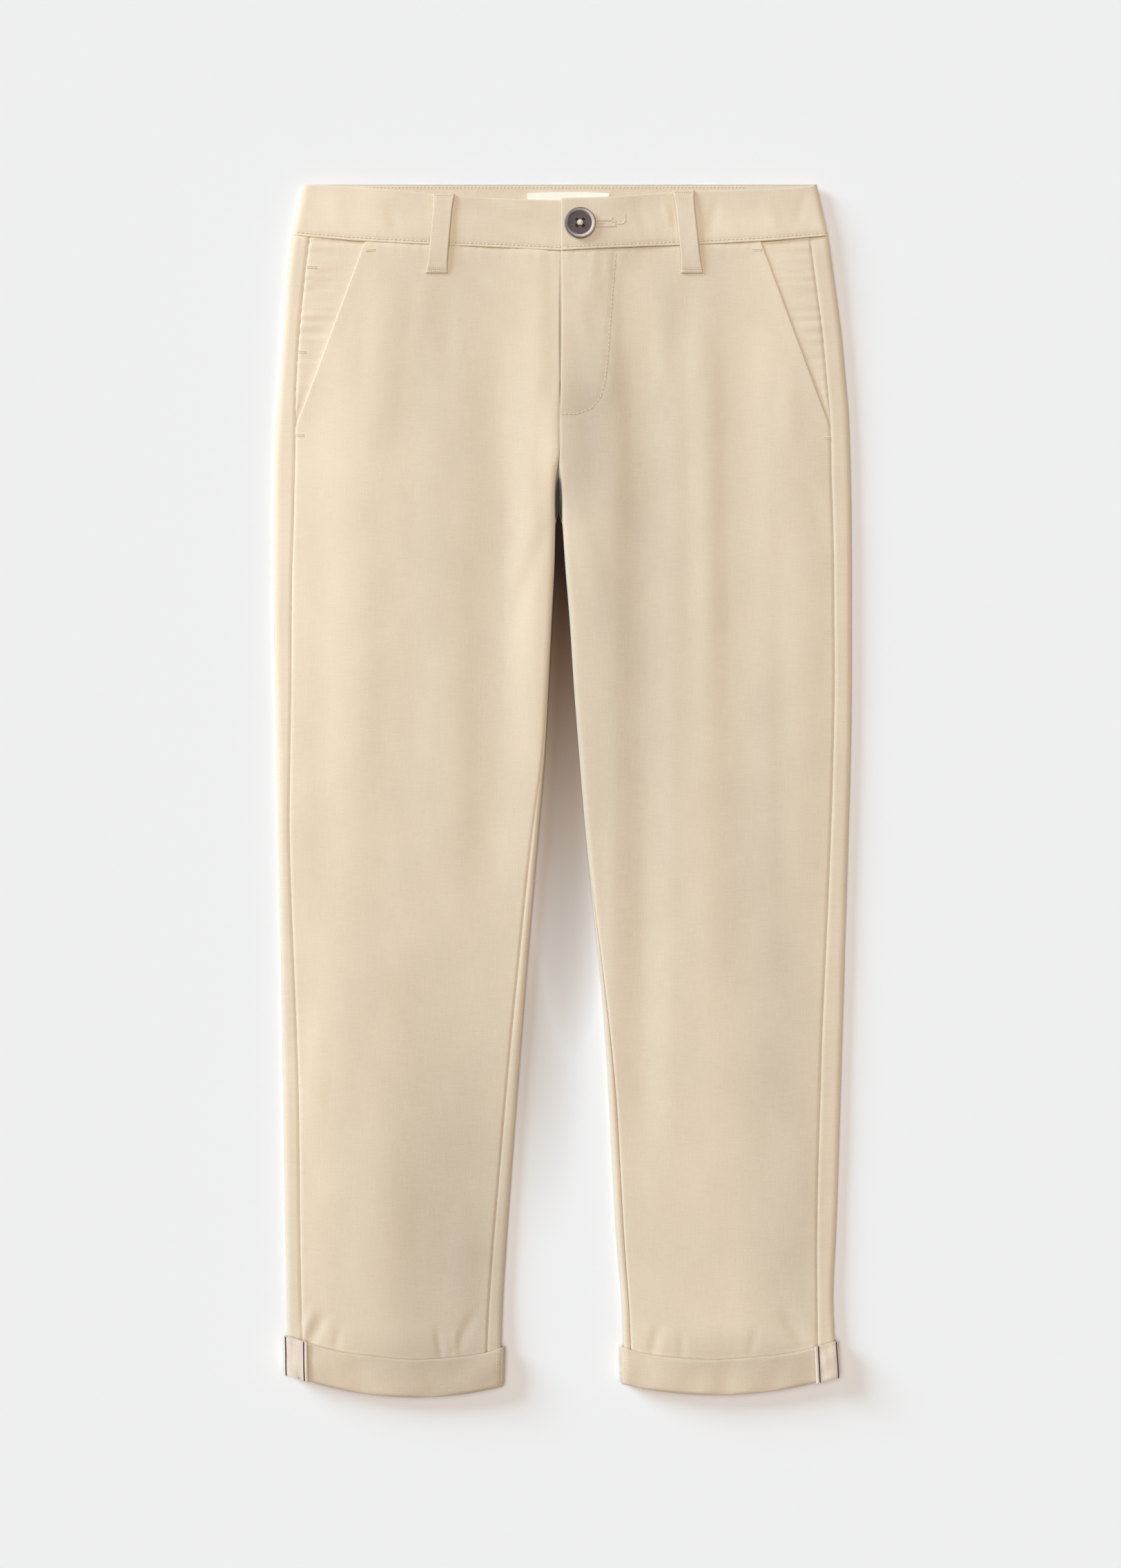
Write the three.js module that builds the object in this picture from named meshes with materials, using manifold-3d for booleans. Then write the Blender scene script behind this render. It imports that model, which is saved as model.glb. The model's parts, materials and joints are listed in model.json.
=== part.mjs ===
// A child's chino trousers, laid flat on their back with the hems turned up and the waist buttoned.
// Millimetres. X runs across, with the wearer's right leg at -X, and Y runs up from the hems to the
// waist. Z runs up from the surface that they lie on, and the origin is on that surface, under their
// middle. Places along the garment are given as "down", the distance below the waist's top edge, and
// places across a leg as "out", the distance from the origin towards that leg's own side.
import * as THREE from "three";
import { mergeVertices } from "three/addons/utils/BufferGeometryUtils.js";
import Module from "manifold-3d";

// Sizes that drive the rest.
const LENGTH = 702.6;
const CLOTH = 1.2;
const BAND = 1.6;
const THIN = 1.0;
const GAP = 0.3;
const INSEAM_GAP = 0.4;
const SEAT_SEAM = 30;
const HEM = 697;

// Heights above the surface. The waist lies on its back loops, and the hems on their turn-ups.
const LOOP_LIFT = 1.4;
const TURN_UP_LIFT = 2.5;
const BAND_TOP = 6.6;
const EDGE_ROLL = 3.2;
const SIDE_STRETCH = 8;
const BACK_SETTLES = { from: 50, to: 78 };
const HEM_LIFTS = { from: 640, to: 674 };
const CROWN_SPAN = { side: 40, inner: 30 };
const FOLD_CLEARANCE = { none: 3, full: 16 };

// How far the panels' rows bend with the waist seam, and from where with the hem.
const WAIST_BEND_END = 130;
const HEM_BEND = { from: 540, to: 680 };

// Sections of the wearer's right leg. outline and inner are its outer and inner edges, and outseam
// and inseam the seams on its upper face. Above the crotch the last two are the centre front.
const RIGHT_SECTIONS = [
  { down: 30, outline: 156.9, outseam: 146.7, inseam: 1.1, inner: 1.1 },
  { down: 53, outline: 159.5, outseam: 149.5, inseam: 0.7, inner: 0.7 },
  { down: 85, outline: 161.9, outseam: 152.7, inseam: 0.7, inner: 0.7 },
  { down: 117, outline: 164.5, outseam: 154.7, inseam: 1.3, inner: 1.3 },
  { down: 133, outline: 165.7, outseam: 155.1, inseam: 2.1, inner: 2.1 },
  { down: 152, outline: 166.7, outseam: 155.1, inseam: 1.8, inner: 1.8 },
  { down: 170, outline: 167.3, outseam: 155.5, inseam: 3.7, inner: 3.7 },
  { down: 192, outline: 167.5, outseam: 155.9, inseam: 4.3, inner: 4.3 },
  { down: 221, outline: 167.5, outseam: 156.9, inseam: 4.9, inner: 4.9 },
  { down: 253, outline: 167.5, outseam: 157.3, inseam: 6.5, inner: 6.5 },
  { down: 293, outline: 166.7, outseam: 157.5, inseam: 8.6, inner: 8.5 },
  { down: 333, outline: 165.9, outseam: 158.1, inseam: 11.6, inner: 10.7 },
  { down: 373, outline: 165.1, outseam: 158.5, inseam: 17.2, inner: 13.9 },
  { down: 413, outline: 164.3, outseam: 157.5, inseam: 21.7, inner: 17.3 },
  { down: 453, outline: 163.5, outseam: 155.9, inseam: 25.7, inner: 20.7 },
  { down: 493, outline: 162.7, outseam: 154.3, inseam: 29.7, inner: 23.9 },
  { down: 533, outline: 162.1, outseam: 153.1, inseam: 33.3, inner: 26.9 },
  { down: 573, outline: 161.5, outseam: 152.7, inseam: 36.7, inner: 29.8 },
  { down: 613, outline: 160.9, outseam: 152.3, inseam: 40.1, inner: 32.6 },
  { down: 653, outline: 160.1, outseam: 151.5, inseam: 42.9, inner: 35.0 },
  { down: 697, outline: 159.1, outseam: 150.1, inseam: 44.7, inner: 36.5 },
];
const LEFT_SECTIONS = [
  { down: 30, outline: 153.7, outseam: 142.9, inseam: -1.1, inner: -1.1 },
  { down: 53, outline: 156.9, outseam: 145.9, inseam: -0.7, inner: -0.7 },
  { down: 85, outline: 161.3, outseam: 150.1, inseam: -0.7, inner: -0.7 },
  { down: 117, outline: 164.3, outseam: 153.1, inseam: -1.3, inner: -1.3 },
  { down: 133, outline: 165.7, outseam: 154.5, inseam: -2.1, inner: -2.1 },
  { down: 152, outline: 166.4, outseam: 155.3, inseam: -1.8, inner: -1.8 },
  { down: 170, outline: 166.9, outseam: 155.5, inseam: -1.7, inner: -1.7 },
  { down: 192, outline: 167.3, outseam: 156.3, inseam: -0.1, inner: -0.1 },
  { down: 221, outline: 167.5, outseam: 156.9, inseam: 1.3, inner: 1.3 },
  { down: 253, outline: 167.5, outseam: 157.1, inseam: 3.9, inner: 3.9 },
  { down: 293, outline: 167.5, outseam: 157.3, inseam: 6.6, inner: 6.5 },
  { down: 333, outline: 166.9, outseam: 156.5, inseam: 9.7, inner: 9.6 },
  { down: 373, outline: 165.7, outseam: 155.3, inseam: 13.1, inner: 12.9 },
  { down: 413, outline: 164.5, outseam: 153.7, inseam: 17.5, inner: 16.9 },
  { down: 453, outline: 163.3, outseam: 151.9, inseam: 22.6, inner: 21.1 },
  { down: 493, outline: 162.1, outseam: 150.1, inseam: 27.2, inner: 24.4 },
  { down: 533, outline: 160.9, outseam: 148.9, inseam: 30.9, inner: 26.9 },
  { down: 573, outline: 159.7, outseam: 147.7, inseam: 33.1, inner: 28.9 },
  { down: 613, outline: 158.3, outseam: 147.1, inseam: 35.3, inner: 31.1 },
  { down: 653, outline: 156.7, outseam: 147.3, inseam: 38.1, inner: 34.3 },
  { down: 697, outline: 158.3, outseam: 147.5, inseam: 39.9, inner: 35.7 },
];

// The hem's fold on each leg: how far down it is at the leg's outer and inner edge, how much further
// it sags between them on the upper face, and how tall the turn-up is.
const LEGS = {
  right: { sign: -1, sections: RIGHT_SECTIONS, outer: 689.6, inner: 697.0, sag: 9.0, turnUp: 22.2 },
  left: { sign: 1, sections: LEFT_SECTIONS, outer: 691.0, inner: 695.4, sag: 8.0, turnUp: 20.8 },
};

// The waistband's upper layer dips towards the centre front, by its distance out from the centre.
const WAIST_DIP = [
  { out: 0, rightTop: 9.8, leftTop: 8.8, seam: 39.0 },
  { out: 27, rightTop: 9.0, leftTop: 7.8, seam: 37.7 },
  { out: 64, rightTop: 6.9, leftTop: 4.9, seam: 36.1 },
  { out: 88, rightTop: 4.5, leftTop: 3.9, seam: 35.0 },
  { out: 120, rightTop: 2.1, leftTop: 3.0, seam: 33.3 },
  { out: 145, rightTop: 0.6, leftTop: 1.6, seam: 31.3 },
  { out: 157, rightTop: 0.0, leftTop: 0.0, seam: 30.0 },
];

// Heights of the upper face: at the edges of the trousers, and how much more in the middle of them.
const UPPER_FACE = [
  { down: 30, edge: 6.4, crown: 0.0 },
  { down: 52, edge: 6.3, crown: 0.0 },
  { down: 80, edge: 5.6, crown: 0.2 },
  { down: 120, edge: 4.9, crown: 0.5 },
  { down: 200, edge: 4.8, crown: 0.6 },
  { down: 620, edge: 4.8, crown: 0.5 },
  { down: 655, edge: 5.3, crown: 0.7 },
  { down: 680, edge: 6.1, crown: 1.1 },
  { down: 697, edge: 6.1, crown: 1.2 },
];

// Soft folds of the upper face: each runs straight from one place to the other, and its rise fades
// to nothing at its half width and towards its ends.
const FOLDS = [
  { x0: -121, down0: 40, x1: -120, down1: 400, half: 24, rise: 0.5 },
  { x0: -94, down0: 90, x1: -97, down1: 420, half: 22, rise: -0.6 },
  { x0: -66, down0: 70, x1: -68, down1: 420, half: 22, rise: 0.4 },
  { x0: -41, down0: 60, x1: -37, down1: 440, half: 24, rise: -1.6 },
  { x0: -11, down0: 120, x1: -26, down1: 440, half: 18, rise: 0.5 },
  { x0: -122, down0: 400, x1: -122, down1: 680, half: 36, rise: 0.6 },
  { x0: -62, down0: 420, x1: -60, down1: 680, half: 46, rise: -1.1 },
  { x0: 18, down0: 50, x1: 24, down1: 400, half: 20, rise: 0.4 },
  { x0: 49, down0: 50, x1: 44, down1: 580, half: 19, rise: -1.6 },
  { x0: 82, down0: 70, x1: 80, down1: 560, half: 26, rise: 0.4 },
  { x0: 102, down0: 60, x1: 101, down1: 520, half: 20, rise: -0.9 },
  { x0: 133, down0: 60, x1: 130, down1: 640, half: 24, rise: 0.4 },
];
const FOLD_END = 70;

// The slanted pocket opening, from the waist seam to the outseam.
const POCKET = { topOut: 115, topDown: 34.3, bottomOut: 155.2, bottomDown: 142, facingUnder: 12 };

// The fly: its edge lies over the other front down to lapEnd, and its relief is gone at reliefEnd.
const FLY = { lap: 3, lapFades: 9, lapEnd: 116, reliefEnd: 135, placket: 30, drop: 0.7, rise: 0.9 };
const SUNK_FRONT = { from: -14, to: -4 };
const CROTCH = {
  centreEnd: 165,
  frontParts: 158,
  frontRolled: 172,
  backParts: 168,
  backRolled: 184,
  forks: 190,
  forkLength: 8,
};
const UNDERLAP = 26;
const LAP_FADES = { from: 28, to: 60 };
const FLY_SHIELD = { left: -15, right: 22, top: 40, bottom: 114 };

const LOOPS = [
  { name: "belt_loop_front_right", x0: -68.9, x1: -73.1, upper: true },
  { name: "belt_loop_front_left", x0: 69.6, x1: 74.8, upper: true },
  { name: "belt_loop_back_right", x0: -82, x1: -84, upper: false },
  { name: "belt_loop_back_left", x0: 82, x1: 84, upper: false },
  { name: "belt_loop_back_centre", x0: 0, x1: 0, upper: false },
];
const LOOP = { end: 52.2, waistWidth: 11, endWidth: 13, thick: 1.1, bow: 1.0 };

const BUTTON = { x: 9.7, down: 23.2, radius: 9, thick: 3, rim: 2, dish: 0.7, hole: 0.9, spacing: 1.95 };
const LABEL = { left: -20.7, right: 26.9, top: 4.6, bottom: 27 };
const TAPE = { start: 1.5, width: 11.2 };

// Finishes.
const TWILL = new THREE.MeshStandardMaterial({ color: 0xe0cfb5, roughness: 0.85, metalness: 0 });
const INNER_TWILL = new THREE.MeshStandardMaterial({ color: 0xe4d4bf, roughness: 0.88, metalness: 0 });
const TAPE_COTTON = new THREE.MeshStandardMaterial({ color: 0xead9c4, roughness: 0.9, metalness: 0 });
const LABEL_COTTON = new THREE.MeshStandardMaterial({ color: 0xf2f0e4, roughness: 0.8, metalness: 0 });
const HORN = new THREE.MeshStandardMaterial({ color: 0x6e605c, roughness: 0.4, metalness: 0 });

const wasm = await Module();
wasm.setup();

// Plain maths.
const mix = (a, b, t) => a + (b - a) * t;
const clamp = (v) => Math.min(Math.max(v, 0), 1);
const smooth = (from, to, v) => {
  const t = clamp((v - from) / (to - from));
  return t * t * (3 - 2 * t);
};

// A column of a table at any place, as a smooth curve through its rows.
function curve(rows, key, column, at) {
  const last = rows.length - 1;
  const v = Math.min(Math.max(at, rows[0][key]), rows[last][key]);
  let i = 0;
  while (i < last - 1 && rows[i + 1][key] < v) i += 1;
  const slope = (k) => {
    const a = rows[Math.max(k - 1, 0)];
    const b = rows[Math.min(k + 1, last)];
    return (b[column] - a[column]) / (b[key] - a[key]);
  };
  const step = rows[i + 1][key] - rows[i][key];
  const t = (v - rows[i][key]) / step;
  const start = rows[i][column] * (1 - 3 * t * t + 2 * t * t * t);
  const end = rows[i + 1][column] * (3 * t * t - 2 * t * t * t);
  const bends = slope(i) * (t - 2 * t * t + t * t * t) + slope(i + 1) * (t * t * t - t * t);
  return start + end + step * bends;
}

const section = (leg, column, down) => curve(leg.sections, "down", column, down);
const centreFront = (down) => section(LEGS.left, "inner", Math.min(down, CROTCH.centreEnd));
const lowerFace = (down) =>
  LOOP_LIFT * (1 - smooth(BACK_SETTLES.from, BACK_SETTLES.to, down)) +
  TURN_UP_LIFT * smooth(HEM_LIFTS.from, HEM_LIFTS.to, down);
const upperEdge = (down) => curve(UPPER_FACE, "down", "edge", down);

function foldsAt(x, down) {
  let sum = 0;
  for (const f of FOLDS) {
    const t = clamp((down - f.down0) / (f.down1 - f.down0));
    const away = Math.abs(x - mix(f.x0, f.x1, t)) / f.half;
    if (away >= 1) continue;
    const ends = smooth(f.down0, f.down0 + FOLD_END, down) * (1 - smooth(f.down1 - FOLD_END, f.down1, down));
    sum += f.rise * ends * (1 - away * away) ** 2;
  }
  return sum;
}

// The height of the upper face of a leg and of its half of the seat, without its rolled edges.
function upperFace(leg, out, down) {
  const inFromSide = section(leg, "outline", down) - out;
  const inFromInner = out - section(leg, "inner", down);
  const fromSide = Math.sin((Math.PI / 2) * clamp(inFromSide / CROWN_SPAN.side));
  const fromInner = Math.sin((Math.PI / 2) * clamp(inFromInner / CROWN_SPAN.inner));
  const parted = smooth(CROTCH.frontParts, CROTCH.backRolled, down);
  const crown = curve(UPPER_FACE, "down", "crown", down) * fromSide * mix(1, fromInner, parted);
  const inFromEdges = smooth(FOLD_CLEARANCE.none, FOLD_CLEARANCE.full, inFromSide);
  return upperEdge(down) + crown + foldsAt(leg.sign * out, down) * inFromEdges;
}

// The fronts are stepped at the fly, where the left one lies over the right one.
function frontFace(leg, out, down) {
  const relief = 1 - smooth(FLY.lapEnd, FLY.reliefEnd, down);
  const past = leg.sign * out - centreFront(down);
  const step =
    leg.sign < 0
      ? -FLY.drop * smooth(SUNK_FRONT.from, SUNK_FRONT.to, past)
      : FLY.rise * (1 - smooth(FLY.placket - 4, FLY.placket + 6, past));
  return upperFace(leg, out, down) + step * relief;
}

// The waist seam and the hem's fold, where upper is 1 on the upper face and 0 on the lower one.
const waistSeam = (out, upper) => mix(SEAT_SEAM, curve(WAIST_DIP, "out", "seam", Math.abs(out)), upper);
function hemFold(leg, out, upper) {
  const outline = section(leg, "outline", HEM);
  const t = clamp((outline - out) / (outline - section(leg, "inner", HEM)));
  return mix(leg.outer, leg.inner, t) + leg.sag * mix(0.35, 1, upper) * (1 - (2 * t - 1) ** 2);
}

// Where a panel's row lies at a place across it: the rows bend with the waist seam and the hem.
function rowDown(leg, out, row, upper) {
  const atWaist = (waistSeam(out, upper) - SEAT_SEAM) * (1 - smooth(SEAT_SEAM, WAIST_BEND_END, row));
  const atHem = (hemFold(leg, out, upper) - HEM) * smooth(HEM_BEND.from, HEM_BEND.to, row);
  return row + atWaist + atHem;
}

const place = (leg, out, down, z) => new THREE.Vector3(leg.sign * out, LENGTH / 2 - down, z);

// An edge of the flattened tube is a half ellipse. A point lies "along" it from the outermost point,
// and further on over the face beside it: inset is how far in it is, and share its part of the height.
function edgeRoll(down) {
  const rise = (upperEdge(down) - lowerFace(down)) / 2;
  const radius = Math.min(EDGE_ROLL, (rise * rise) / (CLOTH + 0.15));
  return { radius, length: (Math.PI / 2) * Math.hypot(radius, rise) * Math.SQRT1_2 };
}
function rolled(along, roll, amount) {
  const far = Math.abs(along);
  const turn = (Math.PI / 2) * Math.min(far / roll.length, 1);
  const inset = roll.radius * (1 - Math.cos(turn)) + Math.max(far - roll.length, 0);
  return { inset: mix(far, inset, amount), share: mix(1, Math.sin(turn), amount) };
}
function alongFor(inset, roll) {
  if (inset >= roll.radius) return roll.length + inset - roll.radius;
  return (roll.length * Math.acos(1 - Math.max(inset, 0) / roll.radius)) / (Math.PI / 2);
}

// A point of a leg's tube beside one of its edges. Positive along is on the upper face.
function edgePoint(leg, row, edge, along, amount, face) {
  const roll = edgeRoll(row);
  const { inset, share } = rolled(along, roll, amount);
  const out = edge.out + edge.inward * inset;
  const middle = (upperEdge(row) + lowerFace(row)) / 2;
  const upper = amount < 1 && along <= 0 ? 0.5 - 0.5 * share : 0.5 + 0.5 * share * Math.sign(along);
  const down = rowDown(leg, out, row, mix(along > 0 ? 1 : 0, upper, amount));
  const surface = along > 0 ? face(leg, out, down) : lowerFace(row);
  return place(leg, out, down, mix(middle, surface, share));
}

// The direction across a row of points at one of them, which follows the row's bend at its ends too.
function acrossAt(points, c) {
  const last = points.length - 1;
  if (c > 0 && c < last) return points[c + 1].clone().sub(points[c - 1]);
  const [a, b, d] = c === 0 ? [0, 1, Math.min(2, last)] : [last, last - 1, Math.max(last - 2, 0)];
  const towards = points[b].clone().sub(points[a]);
  if (last > 1) towards.multiplyScalar(4).sub(points[d].clone().sub(points[a]));
  return c === 0 ? towards : towards.negate();
}

// A wall of cloth from a grid of points on its outer side, thickened inwards along their normals.
function wall(grid, thick, turned = false) {
  const rows = grid.length;
  const cols = grid[0].length;
  const outer = grid.flat();
  const inner = outer.map((p, i) => {
    const r = Math.floor(i / cols);
    const c = i % cols;
    const downwards = grid[Math.min(r + 1, rows - 1)][c].clone().sub(grid[Math.max(r - 1, 0)][c]);
    const across = acrossAt(grid[r], c);
    const normal = across.cross(downwards).normalize();
    return p.clone().addScaledVector(normal, turned ? -thick : thick);
  });
  const faces = [];
  const quad = (a, b, c, d) => faces.push(...(turned ? [a, c, b, a, d, c] : [a, b, c, a, c, d]));
  const n = rows * cols;
  for (let r = 0; r < rows - 1; r += 1) {
    for (let c = 0; c < cols - 1; c += 1) {
      const i = r * cols + c;
      quad(i, i + cols, i + cols + 1, i + 1);
      quad(n + i, n + i + 1, n + i + cols + 1, n + i + cols);
    }
  }
  for (let r = 0; r < rows - 1; r += 1) {
    const i = r * cols;
    const j = i + cols - 1;
    quad(i, n + i, n + i + cols, i + cols);
    quad(j, j + cols, n + j + cols, n + j);
  }
  for (let c = 0; c < cols - 1; c += 1) {
    const j = (rows - 1) * cols + c;
    quad(c, c + 1, n + c + 1, n + c);
    quad(j, n + j, n + j + 1, j + 1);
  }
  const geometry = new THREE.BufferGeometry().setFromPoints([...outer, ...inner]);
  geometry.setIndex(faces);
  geometry.computeVertexNormals();
  return geometry;
}

function named(name, geometry, material) {
  const mesh = new THREE.Mesh(geometry, material);
  mesh.name = name;
  return mesh;
}

const PANEL_ROWS = [
  30.3, 41, 53, 69, 85, 101, 117, 130, 142, 152, 158, 164, 170, 176, 184, 190, 197, 208, 221, 253,
  293, 333, 373, 413, 453, 493, 533, 573, 613, 638, 656, 674, 695,
];
const steps = (count) => Array.from({ length: count + 1 }, (_, i) => i / count);

// The front's outer boundary: the slanted pocket edge, and below it the outseam.
function slantOut(down) {
  const t = (down - POCKET.topDown) / (POCKET.bottomDown - POCKET.topDown);
  return mix(POCKET.topOut, POCKET.bottomOut, t);
}
function frontSide(leg, row) {
  if (row >= POCKET.bottomDown) return section(leg, "outseam", row) - GAP / 2;
  return slantOut(rowDown(leg, slantOut(row), row, 1));
}

// One front: from its pocket edge or outseam to the centre front, and below the crotch to the inseam.
function front(leg) {
  const grid = PANEL_ROWS.map((row) => {
    const amount = smooth(CROTCH.frontParts, CROTCH.frontRolled, row);
    const lap = leg.sign < 0 ? FLY.lap * (1 - smooth(FLY.lapEnd - FLY.lapFades, FLY.lapEnd, row)) : 0;
    const edge = { out: section(leg, "inner", row) - lap, inward: 1 };
    const roll = edgeRoll(row);
    const seam = alongFor(section(leg, "inseam", row) - section(leg, "inner", row), roll) + INSEAM_GAP / 2;
    const side = frontSide(leg, row);
    const inside = edgePoint(leg, row, edge, seam + SIDE_STRETCH, amount, frontFace);
    const flat = steps(11).map((t) => {
      const out = mix(side, leg.sign * inside.x, t);
      const down = rowDown(leg, out, row, 1);
      return place(leg, out, down, frontFace(leg, out, down));
    });
    const rolledPart = steps(6)
      .slice(1)
      .map((t) => edgePoint(leg, row, edge, seam + SIDE_STRETCH * (1 - t), amount, frontFace));
    return [...flat, ...rolledPart];
  });
  return wall(grid, CLOTH, leg.sign > 0);
}

// One back: from the outseam over the side, under the leg, and up over its inner edge to the inseam.
function back(leg) {
  const grid = PANEL_ROWS.map((row) => {
    const amount = smooth(CROTCH.backParts, CROTCH.backRolled, row);
    const roll = edgeRoll(row);
    const outline = { out: section(leg, "outline", row), inward: -1 };
    const fork = smooth(CROTCH.forks, CROTCH.forks + CROTCH.forkLength, row);
    const seat = leg.sign * centreFront(row) + GAP / 2;
    const inner = { out: mix(seat, section(leg, "inner", row), fork), inward: 1 };
    const outseam = alongFor(outline.out - section(leg, "outseam", row), roll) - GAP / 2;
    const inseam = alongFor(section(leg, "inseam", row) - section(leg, "inner", row), roll) - INSEAM_GAP / 2;
    const wrap = amount < 1 ? 0 : inseam;
    const over = steps(7).map((t) =>
      edgePoint(leg, row, outline, mix(outseam, -SIDE_STRETCH, t), 1, upperFace),
    );
    const up = steps(6).map((t) =>
      edgePoint(leg, row, inner, mix(-SIDE_STRETCH, wrap, t), amount, upperFace),
    );
    const under = steps(7)
      .slice(1, -1)
      .map((t) => {
        const out = mix(leg.sign * over.at(-1).x, leg.sign * up[0].x, t);
        return place(leg, out, rowDown(leg, out, row, 0), lowerFace(row));
      });
    return [...over, ...under, ...up];
  });
  return wall(grid, CLOTH, leg.sign < 0);
}

// The pocket's facing shows between the slanted edge and the outseam, and goes on under the front.
function pocketFacing(leg) {
  const rows = PANEL_ROWS.filter((row) => row < POCKET.bottomDown - 3);
  const grid = rows.map((row) => {
    const seam = section(leg, "outseam", row) - GAP / 2;
    const slant = frontSide(leg, row);
    return steps(6).map((t) => {
      const out = mix(seam, slant - POCKET.facingUnder, t);
      const down = rowDown(leg, out, row, 1);
      const sunk = clamp((seam - out) / Math.max(seam - slant - 1, 0.5));
      const atSeam = mix(0.2, CLOTH + 0.5, smooth(SEAT_SEAM, POCKET.bottomDown - 12, row));
      return place(leg, out, down, upperFace(leg, out, down) - mix(atSeam, CLOTH + 0.5, sunk));
    });
  });
  return wall(grid, THIN, leg.sign > 0);
}

// The fly's shield lies under both fronts, and closes the fly.
function flyShield() {
  const { left, right, top, bottom } = FLY_SHIELD;
  const grid = steps(7).map((r) => {
    const down = mix(top, bottom, r);
    return steps(4).map((c) => {
      const out = -mix(left, right, c);
      const face = upperFace(LEGS.right, Math.max(out, 0), down) - FLY.drop;
      return place(LEGS.right, out, down, face - CLOTH - 0.5);
    });
  });
  return wall(grid, THIN);
}

// Half of the waistband, from the centre front over the side to the centre back.
function bandUpper(leg, out) {
  if (leg.sign < 0) return BAND_TOP;
  return BAND_TOP + (BAND + GAP) * (1 - smooth(LAP_FADES.from, LAP_FADES.to, out));
}
const BAND_EDGE = { radius: 3.6, length: 5, reach: 8.4, inset: 7, slope: 6.7 };
function waistband(leg) {
  const topColumn = leg.sign < 0 ? "rightTop" : "leftTop";
  const end = leg.sign < 0 ? -UNDERLAP : section(leg, "inner", SEAT_SEAM);
  const middle = (BAND_TOP + LOOP_LIFT) / 2;
  const grid = steps(4).map((r) => {
    const widest = section(leg, "outline", SEAT_SEAM);
    const outline = mix(widest - BAND_EDGE.slope, widest, r);
    const at = (out, z, upper) => {
      const top = curve(WAIST_DIP, "out", topColumn, Math.max(out, 0)) * upper;
      return place(leg, out, mix(top, waistSeam(out, upper), r), z);
    };
    const overFront = steps(12).map((t) => {
      const out = mix(end, outline - BAND_EDGE.inset, t);
      return at(out, bandUpper(leg, out), 1);
    });
    const overSide = steps(6)
      .slice(1)
      .map((t) => {
        const { inset, share } = rolled(BAND_EDGE.reach * (1 - 2 * t), BAND_EDGE, 1);
        const upper = 0.5 + 0.5 * share * Math.sign(0.5 - t);
        return at(outline - inset, mix(middle, t < 0.5 ? BAND_TOP : LOOP_LIFT, share), upper);
      });
    const underBack = steps(6)
      .slice(1)
      .map((t) => at(mix(outline - BAND_EDGE.inset, GAP / 2, t), LOOP_LIFT, 0));
    return [...overFront, ...overSide, ...underBack];
  });
  return wall(grid, BAND, leg.sign < 0);
}

// A belt loop: a folded strip that is sewn down at both ends and bows out between them.
function beltLoop(loop) {
  const leg = loop.x0 < 0 ? LEGS.right : LEGS.left;
  const topColumn = leg.sign < 0 ? "rightTop" : "leftTop";
  const start = loop.upper ? curve(WAIST_DIP, "out", topColumn, Math.abs(loop.x0)) - 0.4 : 0.5;
  const grid = steps(10).map((t) => {
    const down = mix(start, LOOP.end - (loop.upper ? 0 : 4), t);
    const flare = Math.abs(2 * t - 1) ** 3;
    const half = mix(LOOP.waistWidth, LOOP.endWidth, flare) / 2;
    const bow = LOOP.bow * Math.sin(Math.PI * t) ** 0.7;
    return [-1, 1].map((edge) => {
      const x = mix(loop.x0, loop.x1, t) + edge * half;
      const z = BAND_TOP + GAP + LOOP.thick + bow;
      return new THREE.Vector3(x, LENGTH / 2 - down, loop.upper ? z : LOOP.thick);
    });
  });
  return wall(grid, LOOP.thick);
}

// The closed outline of a leg's tube at a row near its hem, with the outward direction at each point.
function ringPoint(leg, row, edge, along) {
  const { inset, share } = rolled(along, edgeRoll(row), 1);
  const out = edge.out + edge.inward * inset;
  const middle = (upperEdge(row) + lowerFace(row)) / 2;
  const surface = along > 0 ? upperFace(leg, out, row) : lowerFace(row);
  return { out, z: mix(middle, surface, share), upper: 0.5 + 0.5 * share * Math.sign(along) };
}
function hemRing(leg, row) {
  const outer = { out: section(leg, "outline", row), inward: -1 };
  const inner = { out: section(leg, "inner", row), inward: 1 };
  const round = (edge, from, to) => steps(9).map((t) => ringPoint(leg, row, edge, mix(from, to, t)));
  const overSide = round(outer, SIDE_STRETCH, -SIDE_STRETCH);
  const overInner = round(inner, -SIDE_STRETCH, SIDE_STRETCH);
  const between = (a, b, upper, count) =>
    steps(count)
      .slice(1, -1)
      .map((t) => {
        const out = mix(a.out, b.out, t);
        return { out, z: upper ? upperFace(leg, out, row) : lowerFace(row), upper };
      });
  const under = between(overSide.at(-1), overInner[0], 0, 7);
  const over = between(overInner.at(-1), overSide[0], 1, 9);
  const points = [...overSide, ...under, ...overInner, ...over];
  return points.map((p, i) => {
    const before = points[(i + points.length - 1) % points.length];
    const after = points[(i + 1) % points.length];
    const run = Math.hypot(after.out - before.out, after.z - before.z);
    return { ...p, nOut: -(after.z - before.z) / run, nZ: (after.out - before.out) / run };
  });
}

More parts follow.
